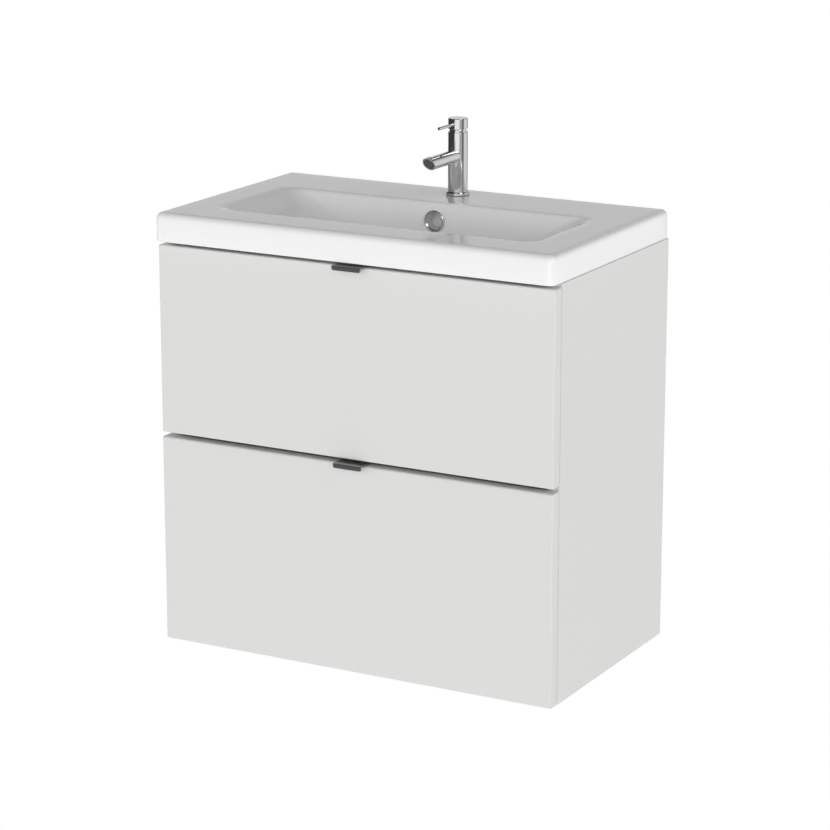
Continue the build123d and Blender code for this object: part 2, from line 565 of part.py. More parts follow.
def drawer_brackets(box):
    """Steel angles that hold the front to the drawer sides."""
    z = (box[0] + BRACKET_RAISE, box[0] + BRACKET_RAISE + BRACKET_HEIGHT)
    with BuildPart() as brackets:
        for side in (-1, 1):
            x = [side * BOX_INNER_X, side * (BOX_INNER_X - BRACKET_SHEET), side * (BOX_INNER_X - BRACKET_LEG)]
            block((x[0], x[1]), (FRONT_REAR_Y, FRONT_REAR_Y + BRACKET_LEG), z)
            block((x[0], x[2]), (FRONT_REAR_Y, FRONT_REAR_Y + BRACKET_SHEET), z)
            for hole_z in bracket_zs(box):
                rod_x((x[0], x[1]), BRACKET_SCREW_Y, hole_z, SCREW_RADIUS + HOLE_PLAY, mode=Mode.SUBTRACT)
                leg_y = (FRONT_REAR_Y, FRONT_REAR_Y + BRACKET_SHEET)
                rod_y(side * BRACKET_SCREW_X, leg_y, hole_z, SCREW_RADIUS + HOLE_PLAY, mode=Mode.SUBTRACT)
    return brackets


def drawer_screws(box, top):
    """Runner, bracket and pull screws of one drawer."""
    with BuildPart() as screws:
        for side in (-1, 1):
            for y in BOX_SCREW_YS:
                screw_x(side * (BOX_HALF_WIDTH + RUNNER_SHEET), -side, y, box[0] + RUNNER_RAISE)
            for z in bracket_zs(box):
                screw_x(side * (BOX_INNER_X - BRACKET_SHEET), side, BRACKET_SCREW_Y, z)
                screw_y(FRONT_REAR_Y + BRACKET_SHEET, side * BRACKET_SCREW_X, z)
            head_y = FRONT_REAR_Y + PULL_SHEET
            cone_height = SCREW_HEAD_RADIUS - SCREW_RADIUS
            pull_x = side * PULL_SCREW_SPACING / 2
            pull_z = top - PULL_SCREW_DROP
            with Locations((pull_x, head_y - cone_height / 2, pull_z)):
                big_end = SCREW_HEAD_RADIUS - HOLE_PLAY
                Cone(big_end, SCREW_RADIUS - HOLE_PLAY, cone_height, rotation=(90, 0, 0))
            rod_y(pull_x, (head_y - cone_height, FRONT_REAR_Y - SCREW_LENGTH), pull_z, SCREW_RADIUS)
    return screws


def boards(x_spans, y, z):
    """Plain drawer boards of one size, one for each span along X."""
    with BuildPart() as plain:
        for x in x_spans:
            block(x, y, z)
    return plain


upper_front = drawer_front(UPPER_BOTTOM_Z, UPPER_TOP_Z, UPPER_BOX)
upper_pull = drawer_pull(UPPER_TOP_Z)
upper_left_side = drawer_side(-1, UPPER_BOX)
upper_right_side = drawer_side(1, UPPER_BOX)
upper_bottom = drawer_bottom(UPPER_BOX, cutout=True)
upper_brackets = drawer_brackets(UPPER_BOX)
upper_screws = drawer_screws(UPPER_BOX, UPPER_TOP_Z)

lower_front = drawer_front(LOWER_BOTTOM_Z, LOWER_TOP_Z, LOWER_BOX)
lower_pull = drawer_pull(LOWER_TOP_Z)
lower_left_side = drawer_side(-1, LOWER_BOX)
lower_right_side = drawer_side(1, LOWER_BOX)
lower_bottom = drawer_bottom(LOWER_BOX, cutout=False)
lower_brackets = drawer_brackets(LOWER_BOX)
lower_screws = drawer_screws(LOWER_BOX, LOWER_TOP_Z)

# Boards that stand on the drawer bottoms
UPPER_BOARD_Z = (UPPER_BOX[0] + BOTTOM_RAISE + DRAWER_BOTTOM_THICKNESS, UPPER_BOX[1])
LOWER_BOARD_Z = (LOWER_BOX[0] + BOTTOM_RAISE + DRAWER_BOTTOM_THICKNESS, LOWER_BOX[1])
BACK_Y = (BOX_REAR_Y - BOX_THICKNESS, BOX_REAR_Y)
CUTOUT_OUTER_X = CUTOUT_HALF_WIDTH + CUTOUT_WALL
BACK_SPANS = [(-BOX_INNER_X, -CUTOUT_OUTER_X), (CUTOUT_OUTER_X, BOX_INNER_X)]
upper_back_boards = boards(BACK_SPANS, BACK_Y, UPPER_BOARD_Z)
lower_back = boards([(-BOX_INNER_X, BOX_INNER_X)], BACK_Y, LOWER_BOARD_Z)
with BuildPart() as trap_cutout_walls:
    for side in (-1, 1):
        wall_x = (side * CUTOUT_HALF_WIDTH, side * CUTOUT_OUTER_X)
        block(wall_x, (CUTOUT_FRONT_Y - CUTOUT_WALL, BOX_REAR_Y), UPPER_BOARD_Z)
    front_wall_x = (HOLE_PLAY - CUTOUT_HALF_WIDTH, CUTOUT_HALF_WIDTH - HOLE_PLAY)
    block(front_wall_x, (CUTOUT_FRONT_Y - CUTOUT_WALL, CUTOUT_FRONT_Y), UPPER_BOARD_Z)


# ---------------------------------------------------------------- basin
def bowl_form(grow):
    """The bowl's inside when grow is 0, or its outside when grow is the wall thickness."""
    with BuildPart() as form:
        for depth, end, front, rear, radius in BOWL_SECTIONS:
            height = BASIN_TOP_Z - depth * BOWL_DEPTH - (grow if depth == 1 else 0)
            half_length = BOWL_HALF_LENGTH * (1 - end) + grow
            front_y = BOWL_FRONT_Y + front * BOWL_WIDTH - grow
            rear_y = BOWL_REAR_Y - rear * BOWL_WIDTH + grow
            with BuildSketch(Plane((0, (front_y + rear_y) / 2, height))):
                RectangleRounded(2 * half_length, rear_y - front_y, radius * BOWL_WIDTH + grow)
        loft()
    return form


bowl_inside = bowl_form(0)
bowl_outside = bowl_form(BOWL_WALL)
OVERFLOW_Z = BASIN_TOP_Z - OVERFLOW_DROP
OVERFLOW_SEAT_Y = BOWL_REAR_Y - 1.0
DUCT_Y = (BOWL_REAR_Y + OVERFLOW_DUCT_WALL, BOWL_REAR_Y + 14)
DUCT_FLOOR_Z = (BOWL_FLOOR_Z - BOWL_WALL - 13, BOWL_FLOOR_Z - BOWL_WALL - 4)

DUCT_X = (-OVERFLOW_DUCT_HALF_WIDTH, OVERFLOW_DUCT_HALF_WIDTH)
DUCT_REAR_Y = DUCT_Y[1] + OVERFLOW_DUCT_WALL
DECK_Z = (BASIN_TOP_Z - DECK_THICKNESS, BASIN_TOP_Z)

# The basin is one casting in two solids that meet face to face: the deck with its skirt, and the bowl
# with its waste boss and overflow duct.
with BuildPart() as basin_deck:
    with BuildSketch(Plane((0, BASIN_FRONT_Y / 2, BASIN_BOTTOM_Z))):
        RectangleRounded(2 * BASIN_HALF_WIDTH, -BASIN_FRONT_Y, BASIN_CORNER_RADIUS)
    extrude(amount=BASIN_EDGE)
    fillet(basin_deck.faces().sort_by(Axis.Z)[-1].edges(), BASIN_TOP_RADIUS)
    fillet(basin_deck.faces().sort_by(Axis.Z)[0].edges(), BASIN_LOWER_RADIUS)
    inside_x = BASIN_HALF_WIDTH - BASIN_SKIRT
    inside_y = (BASIN_FRONT_Y + BASIN_SKIRT, -BASIN_SKIRT)
    block((-inside_x, inside_x), inside_y, (BASIN_BOTTOM_Z, DECK_Z[0]), mode=Mode.SUBTRACT)
    add(bowl_outside.part, mode=Mode.SUBTRACT)
    rod_z(0, TAP_Y, DECK_Z, TAP_HOLE_RADIUS, mode=Mode.SUBTRACT)

with BuildPart() as basin_bowl:
    add(bowl_outside.part)
    rod_z(0, WASTE_Y, (BOSS_Z, BOWL_FLOOR_Z), WASTE_BOSS_RADIUS)
    duct_low = DUCT_FLOOR_Z[0] - OVERFLOW_DUCT_WALL + 1
    block(DUCT_X, (DUCT_Y[0] - OVERFLOW_DUCT_WALL, DUCT_REAR_Y), (duct_low, DECK_Z[0]))
    block(DUCT_X, (WASTE_Y, DUCT_REAR_Y), (duct_low, BOWL_FLOOR_Z - 1))
    add(bowl_inside.part, mode=Mode.SUBTRACT)
    rim = basin_bowl.faces().sort_by(Axis.Z)[-1].inner_wires()
    fillet(rim.edges(), BOWL_RIM_RADIUS)
    passage_x = (OVERFLOW_DUCT_WALL - OVERFLOW_DUCT_HALF_WIDTH, OVERFLOW_DUCT_HALF_WIDTH - OVERFLOW_DUCT_WALL)
    block(passage_x, DUCT_Y, (DUCT_FLOOR_Z[0], DECK_Z[0]), mode=Mode.SUBTRACT)
    block(passage_x, (WASTE_Y, DUCT_Y[1]), DUCT_FLOOR_Z, mode=Mode.SUBTRACT)
    rod_z(0, WASTE_Y, (BOSS_Z, BOWL_FLOOR_Z), WASTE_HOLE_RADIUS, mode=Mode.SUBTRACT)
    overflow_reach = (OVERFLOW_SEAT_Y - 20, DUCT_Y[1])
    rod_y(0, overflow_reach, OVERFLOW_Z, OVERFLOW_HOLE_RADIUS, mode=Mode.SUBTRACT)
    seat_reach = (OVERFLOW_SEAT_Y - 20, OVERFLOW_SEAT_Y)
    rod_y(0, seat_reach, OVERFLOW_Z, OVERFLOW_RING_RADIUS + HOLE_PLAY, mode=Mode.SUBTRACT)

with BuildPart() as overflow_ring:
    rod_y(0, (OVERFLOW_SEAT_Y - 4, OVERFLOW_SEAT_Y), OVERFLOW_Z, OVERFLOW_RING_RADIUS)
    fillet(overflow_ring.edges().sort_by(Axis.Y)[0], 1.5)
    rod_y(0, (OVERFLOW_SEAT_Y, DUCT_Y[0]), OVERFLOW_Z, OVERFLOW_HOLE_RADIUS - HOLE_PLAY)
    bore_reach = (OVERFLOW_SEAT_Y - 5, DUCT_Y[0])
    rod_y(0, bore_reach, OVERFLOW_Z, OVERFLOW_HOLE_RADIUS - 1, mode=Mode.SUBTRACT)

with BuildPart() as basin_sealant:
    bead_x = (INNER_X + 5, WIDTH / 2 - 2)
    bead_y = (CARCASS_FRONT_Y + 4, -4)
    bead_z = (CARCASS_TOP_Z, BASIN_BOTTOM_Z)
    for side in (-1, 1):
        block((side * bead_x[0], side * bead_x[1]), bead_y, bead_z)
    block((-bead_x[1], bead_x[1]), (-BASIN_SKIRT + 3, -4), bead_z)

# ---------------------------------------------------------------- waste
THREAD_BORE = WASTE_THREAD_RADIUS - WASTE_THREAD_WALL
TUBE_BORE = WASTE_TUBE_RADIUS - WASTE_TUBE_WALL

with BuildPart() as waste_body:
    with BuildSketch(Plane((0, WASTE_Y, 0), x_dir=(1, 0, 0), z_dir=(0, -1, 0))):
        with BuildLine():
            Polyline(
                (THREAD_BORE, FLANGE_Z[1]),
                (WASTE_FLANGE_RADIUS - 2, FLANGE_Z[1]),
                (WASTE_FLANGE_RADIUS, FLANGE_Z[0] + 1),
                (WASTE_FLANGE_RADIUS, FLANGE_Z[0]),
                (WASTE_THREAD_RADIUS, FLANGE_Z[0]),
                (WASTE_THREAD_RADIUS, THREAD_END_Z),
                (WASTE_TUBE_RADIUS, THREAD_END_Z),
                (WASTE_TUBE_RADIUS, TUBE_END_Z),
                (TUBE_BORE, TUBE_END_Z),
                (TUBE_BORE, THREAD_END_Z + 3),
                (THREAD_BORE, THREAD_END_Z + 3),
                close=True,
            )
        make_face()
    revolve(axis=Axis((0, WASTE_Y, 0), (0, 0, 1)))
    # overflow slot that faces the duct
    slot_y = (WASTE_Y, WASTE_Y + WASTE_THREAD_RADIUS + 1)
    block((-8, 8), slot_y, DUCT_FLOOR_Z, mode=Mode.SUBTRACT)

waste_seal = turned(
    [
        (WASTE_THREAD_RADIUS + HOLE_PLAY, SEAL_Z[0]),
        (WASTE_BOSS_RADIUS - 1, SEAL_Z[0]),
        (WASTE_BOSS_RADIUS - 3, SEAL_Z[1]),
        (WASTE_THREAD_RADIUS + HOLE_PLAY, SEAL_Z[1]),
    ],
    0,
    WASTE_Y,
)

with BuildPart() as waste_nut:
    with BuildSketch(Plane((0, WASTE_Y, WASTE_NUT_Z[0]))):
        RegularPolygon(WASTE_THREAD_RADIUS + 8, 6)
        Circle(WASTE_THREAD_RADIUS + HOLE_PLAY, mode=Mode.SUBTRACT)
    extrude(amount=WASTE_NUT_Z[1] - WASTE_NUT_Z[0])

HUB_RADIUS = 7.0
HUB_Z = (BOWL_FLOOR_Z - 24, BOWL_FLOOR_Z - 6)
with BuildPart() as plug_guide:
    rod_z(0, WASTE_Y, HUB_Z, HUB_RADIUS)
    with BuildSketch(Plane((0, WASTE_Y, HUB_Z[0]))):
        Circle(THREAD_BORE - HOLE_PLAY)
        Circle(THREAD_BORE - 2.2, mode=Mode.SUBTRACT)
        with PolarLocations((HUB_RADIUS + THREAD_BORE - 2) / 2, 3):
            Rectangle(THREAD_BORE - HUB_RADIUS, 3)
    extrude(amount=6)
    rod_z(0, WASTE_Y, HUB_Z, STEM_RADIUS + STEM_PLAY, mode=Mode.SUBTRACT)

PLUG_Z = (FLANGE_Z[1] + SEAT_GAP, FLANGE_Z[1] + 5)
waste_plug = turned(
    [
        (0, HUB_Z[0] + 2),
        (STEM_RADIUS, HUB_Z[0] + 2),
        (STEM_RADIUS, PLUG_Z[0]),
        (PLUG_RADIUS - 1, PLUG_Z[0]),
        (PLUG_RADIUS, PLUG_Z[0] + 1),
        (PLUG_RADIUS, PLUG_Z[0] + 2.2),
        (PLUG_RADIUS - 3, PLUG_Z[1] - 1),
        (PLUG_RADIUS / 2, PLUG_Z[1]),
        (0, PLUG_Z[1]),
    ],
    0,
    WASTE_Y,
)

# ---------------------------------------------------------------- bottle trap
DIP_Z = CHAMBER_FLOOR_Z - TRAP_DIP
CUP_BOTTOM_Z = CHAMBER_FLOOR_Z - TRAP_CUP_DEPTH
OUTLET_RADIUS = WASTE_TUBE_RADIUS
SPIGOT_RADIUS = OUTLET_RADIUS - SPIGOT_STEP
BRANCH_Y = (WASTE_Y + TRAP_BODY_RADIUS - TRAP_WALL, WASTE_Y + TRAP_BODY_RADIUS + TRAP_BRANCH)

trap_inlet_nut = turned(
    [
        (TRAP_BORE, COLLAR_Z),
        (TRAP_BORE + TRAP_NUT_WALL, COLLAR_Z),
        (TRAP_BORE + TRAP_NUT_WALL, COLLAR_Z + TRAP_NUT_HEIGHT - 2),
        (TRAP_BORE + TRAP_NUT_WALL - 2, COLLAR_Z + TRAP_NUT_HEIGHT),
        (TRAP_BORE, COLLAR_Z + TRAP_NUT_HEIGHT),
    ],
    0,
    WASTE_Y,
)

with BuildPart() as trap_body:
    with BuildSketch(Plane((0, WASTE_Y, 0), x_dir=(1, 0, 0), z_dir=(0, -1, 0))):
        with BuildLine():
            Polyline(
                (TRAP_BORE, COLLAR_Z),
                (TRAP_BORE + TRAP_WALL, COLLAR_Z),
                (TRAP_BORE + TRAP_WALL, COLLAR_Z - 10),
                (TRAP_BODY_RADIUS, CHAMBER_Z),
                (TRAP_BODY_RADIUS, CHAMBER_FLOOR_Z),
                (TRAP_BODY_RADIUS - TRAP_WALL, CHAMBER_FLOOR_Z),
                (TRAP_BODY_RADIUS - TRAP_WALL, CHAMBER_Z - TRAP_WALL),
                (WASTE_TUBE_RADIUS, CHAMBER_Z - TRAP_WALL),
                (WASTE_TUBE_RADIUS, DIP_Z),
                (TUBE_BORE, DIP_Z),
                (TUBE_BORE, TUBE_END_Z - TRAP_FIT),
                (TRAP_BORE, TUBE_END_Z - TRAP_FIT),
                close=True,
            )
        make_face()
    revolve(axis=Axis((0, WASTE_Y, 0), (0, 0, 1)))
    with BuildSketch(Plane((0, BRANCH_Y[0], OUTLET_Z), x_dir=(1, 0, 0), z_dir=(0, 1, 0))):
        Circle(TRAP_BORE + TRAP_BRANCH_WALL)
    extrude(amount=BRANCH_Y[1] - BRANCH_Y[0])
    rod_y(0, (WASTE_Y + TRAP_BODY_RADIUS - 6, BRANCH_Y[1]), OUTLET_Z, TRAP_BORE, mode=Mode.SUBTRACT)

trap_cup = turned(
    [
        (0, CUP_BOTTOM_Z),
        (TRAP_CUP_RADIUS - TRAP_CUP_OVERLAP, CUP_BOTTOM_Z),
        (TRAP_CUP_RADIUS, CUP_BOTTOM_Z + TRAP_CUP_OVERLAP),
        (TRAP_CUP_RADIUS, CUP_TOP_Z),
        (TRAP_BODY_RADIUS + TRAP_FIT, CUP_TOP_Z),
        (TRAP_BODY_RADIUS + TRAP_FIT, CHAMBER_FLOOR_Z - TRAP_FIT),
        (TRAP_BODY_RADIUS - TRAP_WALL, CHAMBER_FLOOR_Z - TRAP_FIT),
        (TRAP_BODY_RADIUS - TRAP_WALL, CUP_BOTTOM_Z + TRAP_CUP_OVERLAP),
        (TRAP_CUP_RADIUS - TRAP_CUP_OVERLAP - 2, CUP_BOTTOM_Z + TRAP_CUP_FLOOR),
        (0, CUP_BOTTOM_Z + TRAP_CUP_FLOOR),
    ],
    0,
    WASTE_Y,
)

with BuildPart() as trap_outlet_nut:
    nut_y = (BRANCH_Y[1], BRANCH_Y[1] + TRAP_NUT_HEIGHT)
    rod_y(0, nut_y, OUTLET_Z, TRAP_BORE + TRAP_NUT_WALL)
    fillet(trap_outlet_nut.edges().filter_by(GeomType.CIRCLE), 1.5)
    rod_y(0, nut_y, OUTLET_Z, TRAP_BORE, mode=Mode.SUBTRACT)

with BuildPart() as trap_outlet_pipe:
    pipe_start = BRANCH_Y[0] + TRAP_WALL + 1
    rod_y(0, (pipe_start, -SPIGOT_LENGTH), OUTLET_Z, OUTLET_RADIUS)
    rod_y(0, (-SPIGOT_LENGTH, 0), OUTLET_Z, SPIGOT_RADIUS)
    rod_y(0, (pipe_start, 0), OUTLET_Z, TUBE_BORE, mode=Mode.SUBTRACT)

# ---------------------------------------------------------------- tap
GASKET_Z = (BASIN_TOP_Z, BASIN_TOP_Z + TAP_GASKET)
BASE_Z = (GASKET_Z[1], GASKET_Z[1] + TAP_BASE_HEIGHT)
BODY_Z = (BASE_Z[1], BASIN_TOP_Z + TAP_BODY_TOP)
PIVOT_Z = BODY_Z[1] + TAP_PLAY
HEAD_Z = (BODY_Z[1] + TAP_HEAD_GAP, BASIN_TOP_Z + TAP_HEIGHT)
SPOUT_Z = BASIN_TOP_Z + SPOUT_RAISE
LEVER_Z = HEAD_Z[1] - LEVER_DROP
CARTRIDGE_RADIUS = TAP_RADIUS - CARTRIDGE_WALL
BASE_BORE = TAP_RADIUS - 2

with BuildPart() as tap_gasket:
    with BuildSketch(Plane((0, TAP_Y, GASKET_Z[0]))):
        Circle(TAP_BASE_RADIUS - GASKET_INSET)
        Circle(BASE_BORE, mode=Mode.SUBTRACT)
    extrude(amount=TAP_GASKET)

with BuildPart() as tap_base_ring:
    rod_z(0, TAP_Y, BASE_Z, TAP_BASE_RADIUS)
    fillet(tap_base_ring.edges().filter_by(GeomType.CIRCLE).sort_by(Axis.Z)[-1], 1.6)
    rod_z(0, TAP_Y, BASE_Z, BASE_BORE, mode=Mode.SUBTRACT)

with BuildPart() as tap_body:
    rod_z(0, TAP_Y, BODY_Z, TAP_RADIUS)
    fillet(tap_body.edges().filter_by(GeomType.CIRCLE).sort_by(Axis.Z)[-1], 0.5)
    bore_z = (BODY_Z[1] - CARTRIDGE_DEPTH, BODY_Z[1])
    rod_z(0, TAP_Y, bore_z, CARTRIDGE_RADIUS + TAP_PLAY, mode=Mode.SUBTRACT)
    # supply inlets and the fixing stud hole, open at the base
    for x in (-INLET_OFFSET, INLET_OFFSET):
        inlet_z = (BODY_Z[0], BODY_Z[0] + INLET_LENGTH)
        rod_z(x, TAP_Y - INLET_FORWARD, inlet_z, INLET_RADIUS, mode=Mode.SUBTRACT)
    stud_z = (BODY_Z[0], BODY_Z[0] + INLET_LENGTH)
    rod_z(0, TAP_Y + STUD_OFFSET, stud_z, STUD_RADIUS + HOLE_PLAY, mode=Mode.SUBTRACT)

END_PLANE = Plane(
    (0, TAP_Y - SPOUT_REACH, SPOUT_Z + SPOUT_RADIUS),
    x_dir=(1, 0, 0),
    z_dir=Vector(0, -1, 0).rotate(Axis.X, SPOUT_END_ANGLE),
)

with BuildPart() as tap_spout:
    rod_y(0, (TAP_Y - SPOUT_REACH, TAP_Y), SPOUT_Z, SPOUT_RADIUS)
    rod_z(0, TAP_Y, (SPOUT_Z - 20, SPOUT_Z + 20), TAP_RADIUS + 0.02, mode=Mode.SUBTRACT)
    split(bisect_by=END_PLANE, keep=Keep.BOTTOM)
    bore_y = (TAP_Y - SPOUT_REACH - 1, TAP_Y - TAP_RADIUS - 8)
    rod_y(0, bore_y, SPOUT_Z, SPOUT_BORE, mode=Mode.SUBTRACT)

with BuildPart() as tap_aerator:
    rod_y(0, (TAP_Y - SPOUT_REACH, TAP_Y - SPOUT_REACH + 24), SPOUT_Z, SPOUT_BORE - 0.05)
    split(bisect_by=END_PLANE.offset(-1.6), keep=Keep.BOTTOM)

with BuildPart() as tap_cartridge:
    rod_z(0, TAP_Y, (BODY_Z[1] - CARTRIDGE_DEPTH + TAP_PLAY, PIVOT_Z), CARTRIDGE_RADIUS)
    with Locations((0, TAP_Y, PIVOT_Z)):
        Sphere(TAP_BALL_RADIUS, arc_size1=0, align=(Align.CENTER, Align.CENTER, Align.MIN))

with BuildPart() as tap_head:
    rod_z(0, TAP_Y, HEAD_Z, TAP_RADIUS)
    fillet(tap_head.edges().filter_by(GeomType.CIRCLE).sort_by(Axis.Z)[-1], 1)
    with Locations((0, TAP_Y, PIVOT_Z)):
        Sphere(TAP_BALL_RADIUS + TAP_PLAY, mode=Mode.SUBTRACT)
    socket_y = (TAP_Y - TAP_RADIUS, TAP_Y - TAP_RADIUS + LEVER_SOCKET)
    rod_y(0, socket_y, LEVER_Z, LEVER_RADIUS + 0.05, mode=Mode.SUBTRACT)

with BuildPart() as tap_lever:
    rod_y(0, (TAP_Y - LEVER_REACH, TAP_Y - TAP_RADIUS + LEVER_SOCKET), LEVER_Z, LEVER_RADIUS)
    fillet(tap_lever.edges().filter_by(GeomType.CIRCLE).sort_by(Axis.Y)[0], 0.8)

STUD_Z = (DECK_Z[0] - STUD_BELOW_DECK, BODY_Z[0] + INLET_LENGTH)
CLAMP_Z = (DECK_Z[0] - CLAMP_THICKNESS, DECK_Z[0])
NUT_Z = (CLAMP_Z[0] - STUD_NUT_HEIGHT, CLAMP_Z[0])
CLAMP_RADIUS = TAP_HOLE_RADIUS + CLAMP_SEAT
with BuildPart() as tap_stud:
    rod_z(0, TAP_Y + STUD_OFFSET, STUD_Z, STUD_RADIUS)

with BuildPart() as tap_horseshoe:
    with BuildSketch(Plane((0, TAP_Y, CLAMP_Z[0]))):
        Circle(CLAMP_RADIUS)
        with Locations((0, HOSE_SLOT_END)):
            slot_align = (Align.CENTER, Align.MAX)
            Rectangle(HOSE_SLOT_WIDTH, CLAMP_RADIUS + 2 * HOSE_SLOT_END, align=slot_align, mode=Mode.SUBTRACT)
        with Locations((0, STUD_OFFSET)):
            Circle(STUD_RADIUS + HOLE_PLAY, mode=Mode.SUBTRACT)
    extrude(amount=CLAMP_Z[1] - CLAMP_Z[0])

with BuildPart() as tap_fixing_nut:
    with BuildSketch(Plane((0, TAP_Y + STUD_OFFSET, NUT_Z[0]))):
        RegularPolygon(STUD_RADIUS * 2, 6)
        Circle(STUD_RADIUS + HOLE_PLAY, mode=Mode.SUBTRACT)
    extrude(amount=NUT_Z[1] - NUT_Z[0])

# ---------------------------------------------------------------- files, one per piece
PIECES = {
    "left_side_panel": left_side_panel,
    "right_side_panel": right_side_panel,
    "bottom_panel": bottom_panel,
    "rear_top_rail": rear_top_rail,
    "rear_bottom_rail": rear_bottom_rail,
    "front_cross_rail": front_cross_rail,
    "back_panel": back_panel,
    "carcass_dowels": carcass_dowels,
    "carcass_screws": carcass_screws,
    "wall_plates": wall_plates,
    "hanger_housings": hanger_housings,
    "hanger_hooks": hanger_hooks,
    "drawer_buffers": drawer_buffers,
    "cabinet_runners": cabinet_runners,
    "upper_middle_runners": upper_middle_runners,
    "upper_drawer_runners": upper_drawer_runners,
    "upper_front": upper_front,
    "upper_pull": upper_pull,
    "upper_left_side": upper_left_side,
    "upper_right_side": upper_right_side,
    "upper_back_boards": upper_back_boards,
    "trap_cutout_walls": trap_cutout_walls,
    "upper_bottom": upper_bottom,
    "upper_brackets": upper_brackets,
    "upper_screws": upper_screws,
    "lower_middle_runners": lower_middle_runners,
    "lower_drawer_runners": lower_drawer_runners,
    "lower_front": lower_front,
    "lower_pull": lower_pull,
    "lower_left_side": lower_left_side,
    "lower_right_side": lower_right_side,
    "lower_back": lower_back,
    "lower_bottom": lower_bottom,
    "lower_brackets": lower_brackets,
    "lower_screws": lower_screws,
    "basin_deck": basin_deck,
    "basin_bowl": basin_bowl,
    "basin_sealant": basin_sealant,
    "overflow_ring": overflow_ring,
    "waste_body": waste_body,
    "waste_seal": waste_seal,
    "waste_nut": waste_nut,
    "plug_guide": plug_guide,
    "waste_plug": waste_plug,
    "trap_inlet_nut": trap_inlet_nut,
    "trap_body": trap_body,
    "trap_cup": trap_cup,
    "trap_outlet_nut": trap_outlet_nut,
    "trap_outlet_pipe": trap_outlet_pipe,
    "tap_gasket": tap_gasket,
    "tap_base_ring": tap_base_ring,
    "tap_body": tap_body,
    "tap_spout": tap_spout,
    "tap_aerator": tap_aerator,
    "tap_cartridge": tap_cartridge,
    "tap_head": tap_head,
    "tap_lever": tap_lever,
    "tap_stud": tap_stud,
    "tap_horseshoe": tap_horseshoe,
    "tap_fixing_nut": tap_fixing_nut,
}

os.makedirs("parts", exist_ok=True)
for label, piece in PIECES.items():
    piece.part.label = label
    export_step(piece.part, f"parts/{label}.step")
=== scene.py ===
# %% [markdown]
# # A wall-hung vanity unit with basin, mixer tap and two drawers
# This lesson dresses a finished joinery and plumbing model.  The sizes, the joints and the places of
# all pieces are already settled in the model that is loaded first.  What is left is what the eye
# judges: how the lacquer, the glazed basin and the chrome look, and the small turned, pressed and
# moulded shapes that a plain working model leaves out.

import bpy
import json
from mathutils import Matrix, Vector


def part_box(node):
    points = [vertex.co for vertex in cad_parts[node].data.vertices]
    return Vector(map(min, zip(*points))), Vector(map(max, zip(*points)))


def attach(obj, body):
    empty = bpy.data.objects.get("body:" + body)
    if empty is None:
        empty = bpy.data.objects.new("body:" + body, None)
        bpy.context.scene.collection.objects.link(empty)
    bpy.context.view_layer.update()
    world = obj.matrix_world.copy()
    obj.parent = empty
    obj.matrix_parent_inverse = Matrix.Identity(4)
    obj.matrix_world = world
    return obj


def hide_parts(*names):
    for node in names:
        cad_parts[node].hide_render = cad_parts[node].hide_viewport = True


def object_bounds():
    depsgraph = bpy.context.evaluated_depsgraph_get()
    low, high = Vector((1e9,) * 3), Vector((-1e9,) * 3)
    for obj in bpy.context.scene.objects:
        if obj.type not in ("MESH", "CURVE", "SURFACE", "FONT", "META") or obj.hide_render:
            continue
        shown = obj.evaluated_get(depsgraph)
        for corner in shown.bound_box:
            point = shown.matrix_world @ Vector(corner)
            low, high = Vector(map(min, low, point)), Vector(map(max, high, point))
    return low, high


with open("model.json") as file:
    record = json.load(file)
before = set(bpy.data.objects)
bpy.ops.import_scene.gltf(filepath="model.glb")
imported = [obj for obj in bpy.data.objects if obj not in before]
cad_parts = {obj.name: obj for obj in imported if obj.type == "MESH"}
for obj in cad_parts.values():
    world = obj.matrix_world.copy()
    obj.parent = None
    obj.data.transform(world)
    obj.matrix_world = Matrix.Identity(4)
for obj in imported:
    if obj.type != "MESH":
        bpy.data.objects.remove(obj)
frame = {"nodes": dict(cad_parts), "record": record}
first_low, first_high = [list(corner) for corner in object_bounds()]

import json
import math
import bmesh
import bpy
from mathutils import Vector

nodes = frame["nodes"]
body_of_node = {node: body for body, held in frame["record"]["behaviour"]["bodies"].items() for node in held}
print("size in metres", [round(high - low, 4) for low, high in zip(first_low, first_high)])

# %% [markdown]
# ## Where things are
# Every place below is read from the loaded model, so nothing here has to be fitted by eye.
# The unit hangs on a wall at y = 0, opens towards -Y, and stands up along +Z.

# %% Named places
MM = 0.001
basin_low, basin_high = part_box("basin_deck")
deck_z = basin_high.z
tap_low, tap_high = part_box("tap_body")
tap_x, tap_y = (tap_low.x + tap_high.x) / 2, (tap_low.y + tap_high.y) / 2
underside_z = first_low[2]
print("deck height", round(deck_z, 4), "tap axis", round(tap_x, 4), round(tap_y, 4))

# %% [markdown]
# ## The camera
# A product of this kind is usually shown from a little above and from one side, with a long lens that
# keeps its upright edges nearly parallel.

# %% Camera
CAMERA_PLACE = Vector((1.914, -3.668, 0.8937))
CAMERA_ELEVATION = 14.87
CAMERA_AZIMUTH = 28.70
CAMERA_LENS = 129.4

camera_data = bpy.data.cameras.new("camera")
camera_data.lens = CAMERA_LENS
camera_data.sensor_width = 36.0
camera_data.clip_end = 200.0
camera = bpy.data.objects.new("camera", camera_data)
camera.location = CAMERA_PLACE
camera.rotation_euler = (math.radians(90 - CAMERA_ELEVATION), 0, math.radians(CAMERA_AZIMUTH))
bpy.context.scene.collection.objects.link(camera)
bpy.context.scene.camera = camera
print("camera", [round(value, 3) for value in camera.location])

# %% [markdown]
# ## Small helpers for node trees
# Materials, the sky and the shader groups are all node trees.  One helper adds a node and sets its
# sockets, and a link is made wherever a socket is given another node's output.

